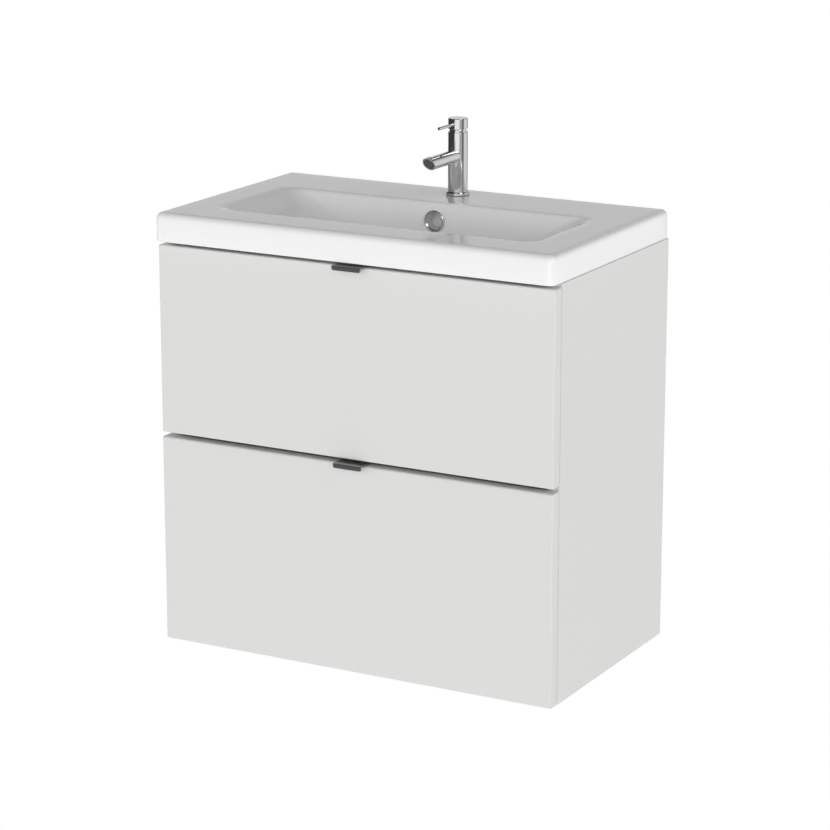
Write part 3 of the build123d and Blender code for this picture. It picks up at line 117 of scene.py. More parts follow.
# %% Node helpers
def add_node(tree, kind, inputs=None, **settings):
    """Adds a node, sets its properties, and fills or links its input sockets."""
    node = tree.nodes.new(kind)
    for name, value in settings.items():
        setattr(node, name, value)
    for key, value in (inputs or {}).items():
        if isinstance(value, bpy.types.NodeSocket):
            tree.links.new(value, node.inputs[key])
        else:
            node.inputs[key].default_value = value
    return node


def math_node(tree, operation, *values, clamp=False):
    """A Math node's result; each value is a number or a socket."""
    node = add_node(tree, "ShaderNodeMath", dict(enumerate(values)), operation=operation, use_clamp=clamp)
    return node.outputs[0]


def ramp_node(tree, fac, stops):
    """A colour ramp on a value; stops are (position, grey level) pairs."""
    node = add_node(tree, "ShaderNodeValToRGB", {0: fac})
    while len(node.color_ramp.elements) < len(stops):
        node.color_ramp.elements.new(0.5)
    for element, (position, level) in zip(node.color_ramp.elements, stops):
        element.position = position
        element.color = (level, level, level, 1)
    return node.outputs["Color"]


# %% [markdown]
# ## Studio light
# Pale goods are lit by large soft sources, bright towards the front and dim overhead, so that upright
# faces stay lighter than the flat top and the shape can be read.  The sky here is such a room: it is
# brightest around the front, falls off upwards, and has one soft box in front and one on the right.
# Polished metal and glaze need something to mirror, so for them the room has bright and dark screens
# standing round the object, and one small lamp.

# %% Light from the room
# places are (azimuth, elevation) in degrees; azimuth 0 is the front
FRONT_BOX, SIDE_BOX, LAMP = (-8, 0), (99, 31), (63, 28)
BOX_FOCUS, BOX_STRENGTH = 8.0, 0.80
LAMP_EDGE, LAMP_STRENGTH = 0.975, 5.0  # the edge is the cosine of the lamp's half angle
# (share of the turn, brightness); 0.25 is the left, 0.5 the front and 0.75 the right
SCREENS = [(0.0, 0.75), (0.13, 0.75), (0.17, 0.05), (0.455, 0.05), (0.485, 1.05), (0.61, 1.05), (0.64, 0.48),
           (0.70, 0.45), (0.725, 0.15), (0.765, 0.18), (0.79, 0.80), (0.93, 0.80), (0.965, 0.15), (1.0, 0.15)]


def build_room_light():
    world = bpy.data.worlds.new("studio")
    world.use_nodes = True
    tree = world.node_tree
    tree.nodes.clear()
    direction = add_node(tree, "ShaderNodeTexCoord").outputs["Generated"]
    split = add_node(tree, "ShaderNodeSeparateXYZ", {0: direction})
    ways = add_node(tree, "ShaderNodeLightPath")

    def towards(azimuth, elevation):
        """The cosine between the looked-at direction and one given in degrees."""
        turn, rise = math.radians(azimuth), math.radians(elevation)
        aim = (math.cos(rise) * math.sin(turn), -math.cos(rise) * math.cos(turn), math.sin(rise))
        node = add_node(tree, "ShaderNodeVectorMath", {0: direction, 1: aim}, operation="DOT_PRODUCT")
        return node.outputs["Value"]

    def eased(value, start, end, first, last):
        """Goes smoothly from first to last while the value goes from start to end."""
        sockets = {0: value, 1: start, 2: end, 3: first, 4: last}
        return add_node(tree, "ShaderNodeMapRange", sockets, interpolation_type="SMOOTHSTEP").outputs[0]

    def soft_box(place):
        return math_node(tree, "POWER", math_node(tree, "MAXIMUM", towards(*place), 0.0), BOX_FOCUS)

    height = eased(split.outputs["Z"], 0.0, 0.9, 1.0, 0.06)
    depth = eased(towards(0, 0), -0.9, 0.9, 0.78, 1.50)
    front_box = math_node(tree, "MULTIPLY", soft_box(FRONT_BOX), BOX_STRENGTH)
    soft_boxes = math_node(tree, "MULTIPLY_ADD", soft_box(SIDE_BOX), BOX_STRENGTH, front_box)
    light = math_node(tree, "MULTIPLY_ADD", height, depth, soft_boxes)
    # what polished metal and glaze mirror
    forward = math_node(tree, "MULTIPLY", split.outputs["Y"], -1.0)
    round_about = math_node(tree, "ARCTAN2", split.outputs["X"], forward)
    turn = math_node(tree, "MULTIPLY_ADD", round_about, 0.5 / math.pi, 0.5)
    screens = math_node(tree, "MULTIPLY", height, ramp_node(tree, turn, SCREENS))
    lamp = math_node(tree, "GREATER_THAN", towards(*LAMP), LAMP_EDGE)
    mirrored = math_node(tree, "MULTIPLY_ADD", lamp, LAMP_STRENGTH, screens)
    seen = add_node(tree, "ShaderNodeMix", {0: ways.outputs["Is Glossy Ray"], 2: light, 3: mirrored})
    white = (1, 1, 1, 1)
    lit = add_node(tree, "ShaderNodeBackground", {"Color": white, "Strength": seen.outputs[0]})
    backdrop = add_node(tree, "ShaderNodeBackground", {"Color": white, "Strength": 1.0})
    direct = ways.outputs["Is Camera Ray"]
    shown = add_node(tree, "ShaderNodeMixShader", {0: direct, 1: lit.outputs[0], 2: backdrop.outputs[0]})
    add_node(tree, "ShaderNodeOutputWorld", {0: shown.outputs[0]})
    bpy.context.scene.world = world
    bpy.context.scene.view_settings.view_transform = "Standard"
    print("light nodes", len(tree.nodes), "screen stops", len(SCREENS))


build_room_light()

# %% [markdown]
# ## Floor
# The unit hangs, so the floor lies well below it, as a wide pale sheet that sends light back up under
# the cabinet.  Seen from below it is clear, so it doesn't hide the underside.

# %% Floor
FLOOR_DROP = 0.60
FLOOR_HALF = 60.0
FLOOR_GLOW = 0.66


def build_floor():
    half, level = FLOOR_HALF, underside_z - FLOOR_DROP
    mesh = bpy.data.meshes.new("floor")
    corners = [(-half, -half, level), (half, -half, level), (half, half, level), (-half, half, level)]
    mesh.from_pydata(corners, [], [(0, 1, 2, 3)])
    floor = bpy.data.objects.new("floor", mesh)
    bpy.context.scene.collection.objects.link(floor)
    material = bpy.data.materials.new("floor_sheet")
    material.use_nodes = True
    tree = material.node_tree
    tree.nodes.clear()
    sheet = add_node(tree, "ShaderNodeBsdfDiffuse", {"Color": (0.8, 0.8, 0.8, 1)})
    glow = add_node(tree, "ShaderNodeEmission", {"Strength": FLOOR_GLOW})
    pale = add_node(tree, "ShaderNodeAddShader", {0: sheet.outputs[0], 1: glow.outputs[0]})
    clear = add_node(tree, "ShaderNodeBsdfTransparent")
    under = add_node(tree, "ShaderNodeNewGeometry").outputs["Backfacing"]
    both = add_node(tree, "ShaderNodeMixShader", {0: under, 1: pale.outputs[0], 2: clear.outputs[0]})
    add_node(tree, "ShaderNodeOutputMaterial", {0: both.outputs[0]})
    mesh.materials.append(material)
    floor.visible_glossy = False
    print("floor at z", round(level, 3))


build_floor()

# %% [markdown]
# ## Effects shared by several finishes
# No made surface is perfectly even.  Lacquer and glaze flow out with a faint ripple, colour drifts a
# little over a sheet, and some spots are duller than others where hands and cloths have been.  Each of
# these effects is one shader group, so a change to it reaches every finish that uses it.

# %% Shader groups
def start_group(name, kind, sockets):
    """A node group with its sockets; each is (direction, name, type, value)."""
    group = bpy.data.node_groups.new(name, kind)
    for direction, label, socket_type, value in sockets:
        socket = group.interface.new_socket(name=label, in_out=direction, socket_type=socket_type)
        if value is not None:
            socket.default_value = value
    return group, group.nodes.new("NodeGroupInput").outputs, group.nodes.new("NodeGroupOutput").inputs


def noise(group, place, scale, detail, **more):
    """A noise texture's value."""
    sockets = {"Vector": place, "Scale": scale, "Detail": detail, **more}
    return add_node(group, "ShaderNodeTexNoise", sockets).outputs[0]


def build_ripple_group():
    """Faint unevenness of a flowed or moulded surface, as a normal."""
    group, given, result = start_group("surface_ripple", "ShaderNodeTree", [
        ("INPUT", "Place", "NodeSocketVector", None), ("INPUT", "Scale", "NodeSocketFloat", 300.0),
        ("INPUT", "Height", "NodeSocketFloat", 0.00002), ("INPUT", "Normal", "NodeSocketVector", None),
        ("OUTPUT", "Normal", "NodeSocketVector", None)])
    waves = noise(group, given["Place"], given["Scale"], 2.0)
    sockets = {"Height": waves, "Distance": given["Height"], "Normal": given["Normal"]}
    bump = add_node(group, "ShaderNodeBump", sockets)
    group.links.new(bump.outputs[0], result["Normal"])
    return group


def build_drift_group():
    """Slow colour drift with a fine speckle, as a colour."""
    group, given, result = start_group("tone_drift", "ShaderNodeTree", [
        ("INPUT", "Place", "NodeSocketVector", None), ("INPUT", "Color", "NodeSocketColor", (0.8, 0.8, 0.8, 1)),
        ("INPUT", "Amount", "NodeSocketFloat", 0.03), ("INPUT", "Scale", "NodeSocketFloat", 6.0),
        ("OUTPUT", "Color", "NodeSocketColor", None)])
    slow = noise(group, given["Place"], given["Scale"], 3.0)
    fine = noise(group, given["Place"], math_node(group, "MULTIPLY", given["Scale"], 60.0), 1.0)
    centred = math_node(group, "SUBTRACT", math_node(group, "MULTIPLY_ADD", fine, 0.4, slow), 0.7)
    level = math_node(group, "MULTIPLY_ADD", centred, given["Amount"], 1.0)
    tinted = add_node(group, "ShaderNodeVectorMath", {0: given["Color"], "Scale": level}, operation="SCALE")
    group.links.new(tinted.outputs[0], result["Color"])
    return group


def build_wear_group():
    """Patches that are a little duller, as a roughness."""
    group, given, result = start_group("handled_roughness", "ShaderNodeTree", [
        ("INPUT", "Place", "NodeSocketVector", None), ("INPUT", "Roughness", "NodeSocketFloat", 0.3),
        ("INPUT", "Spread", "NodeSocketFloat", 0.08), ("INPUT", "Scale", "NodeSocketFloat", 12.0),
        ("OUTPUT", "Roughness", "NodeSocketFloat", None)])
    patches = noise(group, given["Place"], given["Scale"], 4.0, Distortion=0.6)
    centred = math_node(group, "SUBTRACT", patches, 0.5)
    rough = math_node(group, "MULTIPLY_ADD", centred, given["Spread"], given["Roughness"], clamp=True)
    group.links.new(rough, result["Roughness"])
    return group


def build_line_group():
    """Long fine lines along one direction, from drawing, brushing or grain, as a mask from 0 to 1."""
    group, given, result = start_group("drawn_lines", "ShaderNodeTree", [
        ("INPUT", "Place", "NodeSocketVector", None),
        ("INPUT", "Across", "NodeSocketVector", (40.0, 2500.0, 2500.0)),
        ("INPUT", "Contrast", "NodeSocketFloat", 1.6), ("OUTPUT", "Mask", "NodeSocketFloat", None)])
    sockets = {0: given["Place"], 1: given["Across"]}
    stretched = add_node(group, "ShaderNodeVectorMath", sockets, operation="MULTIPLY")
    centred = math_node(group, "SUBTRACT", noise(group, stretched.outputs[0], 1.0, 3.0), 0.5)
    mask = math_node(group, "MULTIPLY_ADD", centred, given["Contrast"], 0.5, clamp=True)
    group.links.new(mask, result["Mask"])
    return group


RIPPLE, DRIFT, WEAR, LINES = build_ripple_group(), build_drift_group(), build_wear_group(), build_line_group()
print("shader groups", [group.name for group in (RIPPLE, DRIFT, WEAR, LINES)])

# %% [markdown]
# ## How a finish is made
# A finish is a Principled surface fed by the groups.  All of it is placed in object coordinates, so
# the pattern is fixed to the piece and moves with a drawer.  A rounded-edge normal stands for the eased
# edges that every cut board and pressed sheet has.

# %% One finish
def finish(name, colour, rough, metal=0.0, drift=(0.03, 6.0), wear=(0.08, 12.0), ripple=(300.0, 0.00002),
           edge=0.0004, lines=None, coat=0.0):
    """A material; drift and wear are (amount, scale), ripple (scale, height), lines (stretch, depth)."""
    material = bpy.data.materials.new(name)
    material.use_nodes = True
    tree = material.node_tree
    shader = tree.nodes["Principled BSDF"]
    place = add_node(tree, "ShaderNodeTexCoord").outputs["Object"]
    tone = add_node(tree, "ShaderNodeGroup", node_tree=DRIFT)
    worn = add_node(tree, "ShaderNodeGroup", node_tree=WEAR)
    wavy = add_node(tree, "ShaderNodeGroup", node_tree=RIPPLE)
    for group_node in (tone, worn, wavy):
        tree.links.new(place, group_node.inputs["Place"])
    tone.inputs["Color"].default_value = (*colour, 1)
    tone.inputs["Amount"].default_value, tone.inputs["Scale"].default_value = drift
    worn.inputs["Roughness"].default_value = rough
    worn.inputs["Spread"].default_value, worn.inputs["Scale"].default_value = wear
    wavy.inputs["Scale"].default_value, wavy.inputs["Height"].default_value = ripple
    rounded = add_node(tree, "ShaderNodeBevel", {"Radius": edge}, samples=4)
    tree.links.new(rounded.outputs[0], wavy.inputs["Normal"])
    shown = tone.outputs["Color"]
    if lines:
        stretch, depth = lines
        drawn = add_node(tree, "ShaderNodeGroup", {"Place": place, "Across": stretch}, node_tree=LINES)
        darker = add_node(tree, "ShaderNodeVectorMath", {0: shown, "Scale": 1.0 - depth}, operation="SCALE")
        sockets = {0: drawn.outputs["Mask"], 6: darker.outputs[0], 7: shown}
        shown = add_node(tree, "ShaderNodeMix", sockets, data_type="RGBA").outputs[2]
    tree.links.new(shown, shader.inputs["Base Color"])
    tree.links.new(worn.outputs["Roughness"], shader.inputs["Roughness"])
    tree.links.new(wavy.outputs["Normal"], shader.inputs["Normal"])
    shader.inputs["Metallic"].default_value = metal
    shader.inputs["Coat Weight"].default_value = coat
    shader.inputs["Coat Roughness"].default_value = 0.03
    shader.inputs["IOR"].default_value = 1.5
    return material


# %% [markdown]
# ## The finishes
# Board is lacquered outside and plainly coated inside the drawers.  The basin is glazed, the tap and
# the waste are chromed, and what hides inside is zinc-plated steel, brass, rubber and moulded plastic.
# The table gives each finish its colour, how dull it is, how much it varies and how large its ripple is.

# %% Finishes
finishes = {
    "grey_lacquered_board": finish(
        "grey_lacquer", (0.73, 0.73, 0.716), 0.40, drift=(0.02, 3.0), ripple=(900.0, 0.000012), edge=0.0012),
    "light_grey_drawer_board": finish(
        "drawer_board", (0.62, 0.62, 0.61), 0.52, drift=(0.04, 8.0), ripple=(2500.0, 0.00003), edge=0.0006),
    "white_glazed_ceramic": finish(
        "glazed_ceramic", (0.92, 0.92, 0.92), 0.16, drift=(0.012, 4.0), wear=(0.05, 9.0),
        ripple=(14.0, 0.00004), edge=0.0015, coat=0.35),
    "polished_chrome": finish(
        "polished_chrome", (0.74, 0.74, 0.75), 0.06, 1.0, drift=(0.02, 20.0), wear=(0.05, 60.0),
        ripple=(40.0, 0.00001), edge=0.0003),
    "polished_pull_metal": finish(
        "pull_metal", (0.52, 0.52, 0.525), 0.42, 1.0, drift=(0.05, 30.0), wear=(0.10, 60.0),
        ripple=(200.0, 0.00001), lines=((60.0, 3000.0, 3000.0), 0.25)),
    "zinc_plated_steel": finish(
        "zinc_plate", (0.60, 0.62, 0.64), 0.32, 1.0, drift=(0.14, 40.0), wear=(0.20, 90.0),
        ripple=(600.0, 0.00002), lines=((1500.0, 25.0, 1500.0), 0.12)),
    "brass": finish(
        "turned_brass", (0.70, 0.53, 0.26), 0.28, 1.0, drift=(0.10, 60.0), wear=(0.15, 120.0),
        lines=((300.0, 300.0, 5000.0), 0.20)),
    "rubber": finish("rubber", (0.045, 0.045, 0.047), 0.72, drift=(0.2, 60.0), ripple=(3000.0, 0.00004)),
    "white_plastic": finish(
        "white_plastic", (0.80, 0.80, 0.79), 0.34, drift=(0.03, 20.0), ripple=(1200.0, 0.00002), edge=0.0005),
    "grey_plastic": finish(
        "grey_plastic", (0.30, 0.31, 0.32), 0.45, drift=(0.05, 40.0), ripple=(1800.0, 0.00002)),
    "sealant": finish("sealant", (0.78, 0.78, 0.77), 0.42, drift=(0.05, 30.0), ripple=(150.0, 0.0001)),
    "beech_dowel": finish(
        "beech_dowel", (0.66, 0.47, 0.30), 0.60, drift=(0.12, 30.0), lines=((30.0, 1800.0, 1800.0), 0.35)),
}
slot_of = {row["node"]: row["material_slot"] for row in frame["record"]["subparts"]}
for name, node in nodes.items():
    node.data.materials.clear()
    node.data.materials.append(finishes[slot_of[name]])
print("finishes", len(finishes), "pieces painted", len(nodes))

# %% [markdown]
# ## Making pieces
# New pieces are meshes made in place, in the same frame as the working model.  Turned pieces come from
# a profile of (radius, height) pairs, the way a lathe makes them, and cast pieces from a skin that runs
# through a row of outlines.

# %% Piece helpers
def face_outwards(mesh, weld=False):
    """Turns all faces outwards; weld first joins the points that meet on a turned piece's axis."""
    work = bmesh.new()
    work.from_mesh(mesh)
    if weld:
        bmesh.ops.remove_doubles(work, verts=work.verts, dist=1e-6)
        bmesh.ops.dissolve_degenerate(work, edges=work.edges, dist=1e-7)
    bmesh.ops.recalc_face_normals(work, faces=work.faces)
    work.to_mesh(mesh)
    work.free()


def mesh_from(name, vertices, faces):
    mesh = bpy.data.meshes.new(name)
    mesh.from_pydata([tuple(vertex) for vertex in vertices], [], faces)
    return mesh


def piece_from(name, mesh, material_slot, sharp=40.0):
    """An object in the scene with its finish; edges bent by more than sharp degrees stay sharp."""
    mesh.name = name
    face_outwards(mesh)
    mesh.shade_smooth()
    mesh.set_sharp_from_angle(angle=math.radians(sharp))
    mesh.materials.clear()
    mesh.materials.append(finishes[material_slot])
    made = bpy.data.objects.new(name, mesh)
    bpy.context.scene.collection.objects.link(made)
    return made


def skin(rings):
    """Vertices and faces of a closed skin through rings with the same number of points."""
    count = len(rings[0])
    vertices = [point for row in rings for point in row]
    faces = []
    for row in range(len(rings)):
        below, above = row * count, ((row + 1) % len(rings)) * count
        for index in range(count):
            after = (index + 1) % count
            faces.append((below + index, below + after, above + after, above + index))
    return vertices, faces


def turned(profile, centre, axis="Z", segments=64, closed=True):
    """Vertices and faces of a profile turned about an axis through centre; pairs are (radius, height)."""
    rings = []
    for radius, height in profile:
        row = []
        for index in range(segments):
            angle = 2 * math.pi * index / segments
            across, up = radius * math.cos(angle), radius * math.sin(angle)
            place = (across, up, height) if axis == "Z" else (across, height, up)
            row.append(Vector(centre) + Vector(place))
        rings.append(row)
    vertices, faces = skin(rings)
    return vertices, (faces if closed else faces[:-segments])


def turned_solid(name, profile, centre, segments):
    """A mesh turned about +Z from a profile that starts and ends on the axis."""
    mesh = mesh_from(name, *turned(profile, centre, "Z", segments, closed=False))
    face_outwards(mesh, weld=True)
    return mesh


def joined(meshes):
    """One mesh from several that don't need to be welded."""
    work = bmesh.new()
    for mesh in meshes:
        work.from_mesh(mesh)
    result = bpy.data.meshes.new("joined")
    work.to_mesh(result)
    work.free()
    return result


# %% [markdown]
# ## Cutting tools
# Holes are taken out of a piece with plain blocks and rods, as a mill and a drill would.

# %% Cutters
def block_mesh(name, low, high):
    mesh = bpy.data.meshes.new(name)
    work = bmesh.new()
    bmesh.ops.create_cube(work, size=1.0)
    for vertex in work.verts:
        vertex.co = Vector([(a + b) / 2 + c * (b - a) for a, b, c in zip(low, high, vertex.co)])
    work.to_mesh(mesh)
    work.free()
    return mesh


def rod_mesh(centre, axis, radius, low, high, segments=48):
    vertices, faces = turned([(radius, low), (radius, high)], centre, axis, segments, closed=False)
    ends = [tuple(range(segments)), tuple(range(2 * segments - 1, segments - 1, -1))]
    mesh = mesh_from("rod", vertices, faces + ends)
    face_outwards(mesh)
    return mesh


def finished_mesh(host):
    """The host's mesh with its modifiers worked in; the modifiers are then removed."""
    bpy.context.view_layer.update()
    mesh = bpy.data.meshes.new_from_object(host.evaluated_get(bpy.context.evaluated_depsgraph_get()))
    host.modifiers.clear()
    return mesh


def cut(host_mesh, cutters):
    """The mesh with each cutter taken out of it."""
    host = bpy.data.objects.new("host", host_mesh)
    bpy.context.scene.collection.objects.link(host)
    helpers = []
    for cutter in cutters:
        helper = bpy.data.objects.new("cutter", cutter)
        bpy.context.scene.collection.objects.link(helper)
        helpers.append(helper)
        modifier = host.modifiers.new("cut", "BOOLEAN")
        modifier.operation = "DIFFERENCE"
        modifier.object = helper
        modifier.solver = "EXACT"
    mesh = finished_mesh(host)
    for helper in helpers + [host]:
        bpy.data.objects.remove(helper)
    return mesh


# %% [markdown]
# ## The basin's outlines
# The basin is one glazed casting: a deck with a turned-down skirt and a bowl that sinks out of it.
# Clay can't hold a sharp edge, and glaze pulls back from one, so every edge is a soft curve and the
# bowl runs from rim to floor without a crease.  Every level of it is a rounded rectangle, drawn with
# the same number of points whatever its size, so that one skin can run through all of them.

# %% Basin outlines
ARC_STEPS, LONG_STEPS, SHORT_STEPS = 14, 26, 10


def ring(half_length, front, rear, corner, z):
    """A rounded rectangle around x = 0."""
    centre_y, half_width = (front + rear) / 2, (rear - front) / 2
    corner = min(corner, half_length * 0.98, half_width * 0.98)

    def on_corner(sx, sy, degrees):
        angle = math.radians(degrees)
        return Vector((sx * (half_length - corner) + corner * math.cos(angle),
                       centre_y + sy * (half_width - corner) + corner * math.sin(angle), z))

    points = []
    corners = [(1, 1, 0), (-1, 1, 90), (-1, -1, 180), (1, -1, 270)]
    for number, (sx, sy, first) in enumerate(corners):
        points += [on_corner(sx, sy, first + 90 * step / ARC_STEPS) for step in range(ARC_STEPS + 1)]
        start, end = points[-1], on_corner(*corners[(number + 1) % 4])
        divisions = LONG_STEPS if number % 2 == 0 else SHORT_STEPS
        points += [start.lerp(end, step / divisions) for step in range(1, divisions)]
    return points


def circle_like(points, centre_y, radius, z):
    """The same number of points on a circle, each in the direction of its partner."""
    made = []
    for point in points:
        away = Vector((point.x, point.y - centre_y, 0)).normalized() * radius
        made.append(Vector((away.x, centre_y + away.y, z)))
    return made


def between(first, second, share):
    """The ring that lies at a share of the way from the first ring to the second."""
    return [a.lerp(b, share) for a, b in zip(first, second)]


def smooth_between(table, share):
    """Reads a table of rows (share, values...) with a smooth curve through its rows."""
    last = len(table) - 1
    index = min(max(i for i in range(len(table)) if table[i][0] <= share), last - 1)
    before, low, high, after = (table[max(i, 0)] for i in (index - 1, index, index + 1, min(index + 2, last)))
    span = high[0] - low[0]
    t = (share - low[0]) / span
    values = []
    for column in range(1, len(low)):
        start = (high[column] - before[column]) / (high[0] - before[0]) * span
        end = (after[column] - low[column]) / (after[0] - low[0]) * span
        values.append((2 * t**3 - 3 * t**2 + 1) * low[column] + (t**3 - 2 * t**2 + t) * start
                      + (3 * t**2 - 2 * t**3) * high[column] + (t**3 - t**2) * end)
    return values


print("points in an outline", len(ring(2.0, -1.0, 1.0, 0.1, 0.0)))

# %% [markdown]
# ## The basin's sizes
# The bowl's form is a short table: at each depth, how far the ends, the front and the rear have come
# in from the rim.  The rear wall is steep, because the tap stands behind it, and the ends slope gently.

# %% Basin sizes
bowl_low, bowl_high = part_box("basin_bowl")
flange_low, flange_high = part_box("waste_body")
ring_low, ring_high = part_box("overflow_ring")
seal_low, seal_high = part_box("waste_seal")
UPPER_EDGE, LOWER_EDGE, OUTER_CORNER, INNER_CORNER = 9 * MM, 1.5 * MM, 10 * MM, 3 * MM
SKIRT, DECK_THICK, BOWL_WALL = 15 * MM, 14 * MM, 9 * MM
RIM_ROLL, END_ROLL = 9 * MM * 0.75, 1.035
WASTE_HOLE, WASTE_BOSS = 23 * MM, 32 * MM
TAP_HOLE, OVERFLOW_HOLE, OVERFLOW_SEAT, RING_FLANGE = 14 * MM, 12.2 * MM, 15.6 * MM, 4 * MM
DUCT_SPACE, DUCT_THICK, DUCT_HALF_WIDTH, DUCT_BELOW_FLOOR = 20 * MM, 12 * MM, 20 * MM, 27 * MM
waste_y = (flange_low.y + flange_high.y) / 2
rim_half = bowl_high.x - BOWL_WALL
rim_front, rim_rear = bowl_low.y + BOWL_WALL, bowl_high.y - DUCT_SPACE
rim_width = rim_rear - rim_front
floor_z = flange_high.z - 3 * MM
bowl_deep = deck_z - floor_z
# depth, end, front, rear and corner, as shares of the bowl's depth, half length and width
BOWL_FORM = [
    (0.00, 0.000, 0.000, 0.000, 0.125),
    (0.32, 0.200, 0.070, 0.017, 0.170),
    (0.64, 0.390, 0.135, 0.045, 0.205),
    (0.88, 0.560, 0.215, 0.097, 0.240),
    (1.00, 0.745, 0.340, 0.215, 0.200),
]
print("bowl", [round(size / MM) for size in (2 * rim_half, rim_width, bowl_deep)], "mm long, wide and deep")

# %% [markdown]
# ## The basin's skin
# One closed skin goes up the skirt, over the edge, across the deck, down the bowl, through the waste
# hole and back up underneath, where it stays one wall thickness away.

# %% Basin skin
def outline(inset, z, corner):
    return ring(basin_high.x - inset, basin_low.y + inset, basin_high.y - inset, corner, z)


def bowl_ring(share, grow=0.0, drop=0.0):
    """The bowl's outline at a share of its depth."""
    end, front, rear, corner = smooth_between(BOWL_FORM, share)
    return ring(rim_half * (1 - end) + grow, rim_front + front * rim_width - grow,
                rim_rear - rear * rim_width + grow, corner * rim_width + grow, deck_z - share * bowl_deep - drop)


def outer_rings():
    """The skirt and the rounded upper edge."""
    rings = [outline(SKIRT, basin_low.z, INNER_CORNER)]
    for step in range(4):
        turn = math.radians(90 * step / 3)
        inset = LOWER_EDGE * (1 - math.sin(turn))
        rings.append(outline(inset, basin_low.z + LOWER_EDGE * (1 - math.cos(turn)), OUTER_CORNER - inset))
    rings.append(outline(0, (basin_low.z + deck_z) / 2, OUTER_CORNER))
    for step in range(9):
        turn = math.radians(90 * step / 8)
        inset = UPPER_EDGE * (1 - math.cos(turn))
        rings.append(outline(inset, deck_z - UPPER_EDGE * (1 - math.sin(turn)), OUTER_CORNER - inset))
    return rings


def deck_and_rim_rings(edge):
    """The flat deck inwards from its edge, and the rim that rolls over into the bowl."""
    flat = bowl_ring(0.0, grow=RIM_ROLL)
    for point in flat:
        # the roll is longer at the two ends, where the bowl slopes down gently
        point.x, point.z = point.x * END_ROLL, deck_z
    rings = [between(edge, flat, share) for share in (0.15, 0.4, 0.7, 0.9)] + [flat]
    corner, wall = bowl_ring(0.0), bowl_ring(0.11)
    for step in range(1, 8):
        t = step / 8
        rings.append([a * (1 - t)**2 + b * (2 * t * (1 - t)) + c * t**2 for a, b, c in zip(flat, corner, wall)])
    return rings


def bowl_and_waste_rings():
    """The bowl's wall and floor, and the waste hole with the boss under it."""
    rings = [bowl_ring(step / 100) for step in range(11, 97, 4)]
    last_wall, floor_edge = rings[-1], bowl_ring(1.0)
    rings += [between(last_wall, floor_edge, step / 4) for step in (1, 2, 3)] + [floor_edge]
    around_waste = circle_like(floor_edge, waste_y, 34 * MM, floor_z)
    rings += [between(floor_edge, around_waste, 0.5), around_waste]
    boss_z = seal_high.z
    for radius, z in ((27 * MM, floor_z), (WASTE_HOLE, floor_z), (WASTE_HOLE, boss_z), (WASTE_BOSS, boss_z),
                      (WASTE_BOSS, floor_z - BOWL_WALL)):
        rings.append(circle_like(floor_edge, waste_y, radius, z))
    return rings


def underside_rings():
    """The outside of the bowl, and the underside of the deck out to the skirt."""
    rings = [bowl_ring(1.0, grow=BOWL_WALL, drop=BOWL_WALL)]
    rings += [bowl_ring(step / 100, grow=BOWL_WALL) for step in (94, 88, 76, 64, 52, 40, 28, 16)]
    under_deck = deck_z - DECK_THICK
    collar = bowl_ring(0.10, grow=BOWL_WALL)
    for point in collar:
        point.z = under_deck
    return rings + [collar, outline(SKIRT, under_deck, INNER_CORNER)]


def basin_rings():
    outside = outer_rings()
    return outside + deck_and_rim_rings(outside[-1]) + bowl_and_waste_rings() + underside_rings()


print("rings in the skin", len(basin_rings()))

# %% [markdown]
# ## The basin as one casting
# The holes for the tap and the overflow are cut while the clay is still soft.  A duct is stuck on at
# the rear, and leads overflowing water down to the waste.

# %% Basin casting
def build_basin():
    shell = mesh_from("basin_shell", *skin(basin_rings()))
    face_outwards(shell)
    overflow_at = (0, 0, (ring_low.z + ring_high.z) / 2)
    seat = ring_low.y + RING_FLANGE
    hole_start, hole_end = seat - 20 * MM, bowl_high.y - 6 * MM
    shell = cut(shell, [
        rod_mesh((tap_x, tap_y, 0), "Z", TAP_HOLE, deck_z - 20 * MM, deck_z + 5 * MM),
        rod_mesh(overflow_at, "Y", OVERFLOW_HOLE, hole_start, hole_end),
        rod_mesh(overflow_at, "Y", OVERFLOW_SEAT, hole_start, seat)])
    half, duct_foot = DUCT_HALF_WIDTH, floor_z - DUCT_BELOW_FLOOR
    upright = block_mesh("duct", (-half, bowl_high.y - DUCT_THICK, duct_foot),
                         (half, bowl_high.y, deck_z - DECK_THICK))
    upright = cut(upright, [rod_mesh(overflow_at, "Y", OVERFLOW_HOLE, hole_start, hole_end)])
    level = block_mesh("duct", (-half, waste_y + 20 * MM, duct_foot), (half, bowl_high.y, floor_z - 10 * MM))
    basin = piece_from("basin_casting", joined([shell, upright, level]), "white_glazed_ceramic", sharp=50.0)
    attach(basin, "cabinet")
    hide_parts("basin_deck", "basin_bowl")
    print("basin faces", len(basin.data.polygons))


build_basin()

# %% [markdown]
# ## Drawer pulls
# Each pull is a strip of plated steel, bent twice: down the back of the drawer front, over its top
# edge, and down again in front as a lip for the fingertips.  The corners of the lip are rounded off
# before bending, so nothing catches a sleeve.  The strip is made here the same way: a path with two
# bends, a width that narrows round the lip's corners, and one sheet thickness.

# %% Pulls
PULL_SHEET, PULL_BEND, PULL_LIP, PULL_CORNER = 2 * MM, 2.2 * MM, 6.5 * MM, 2.4 * MM
CORNER_STEPS = 6


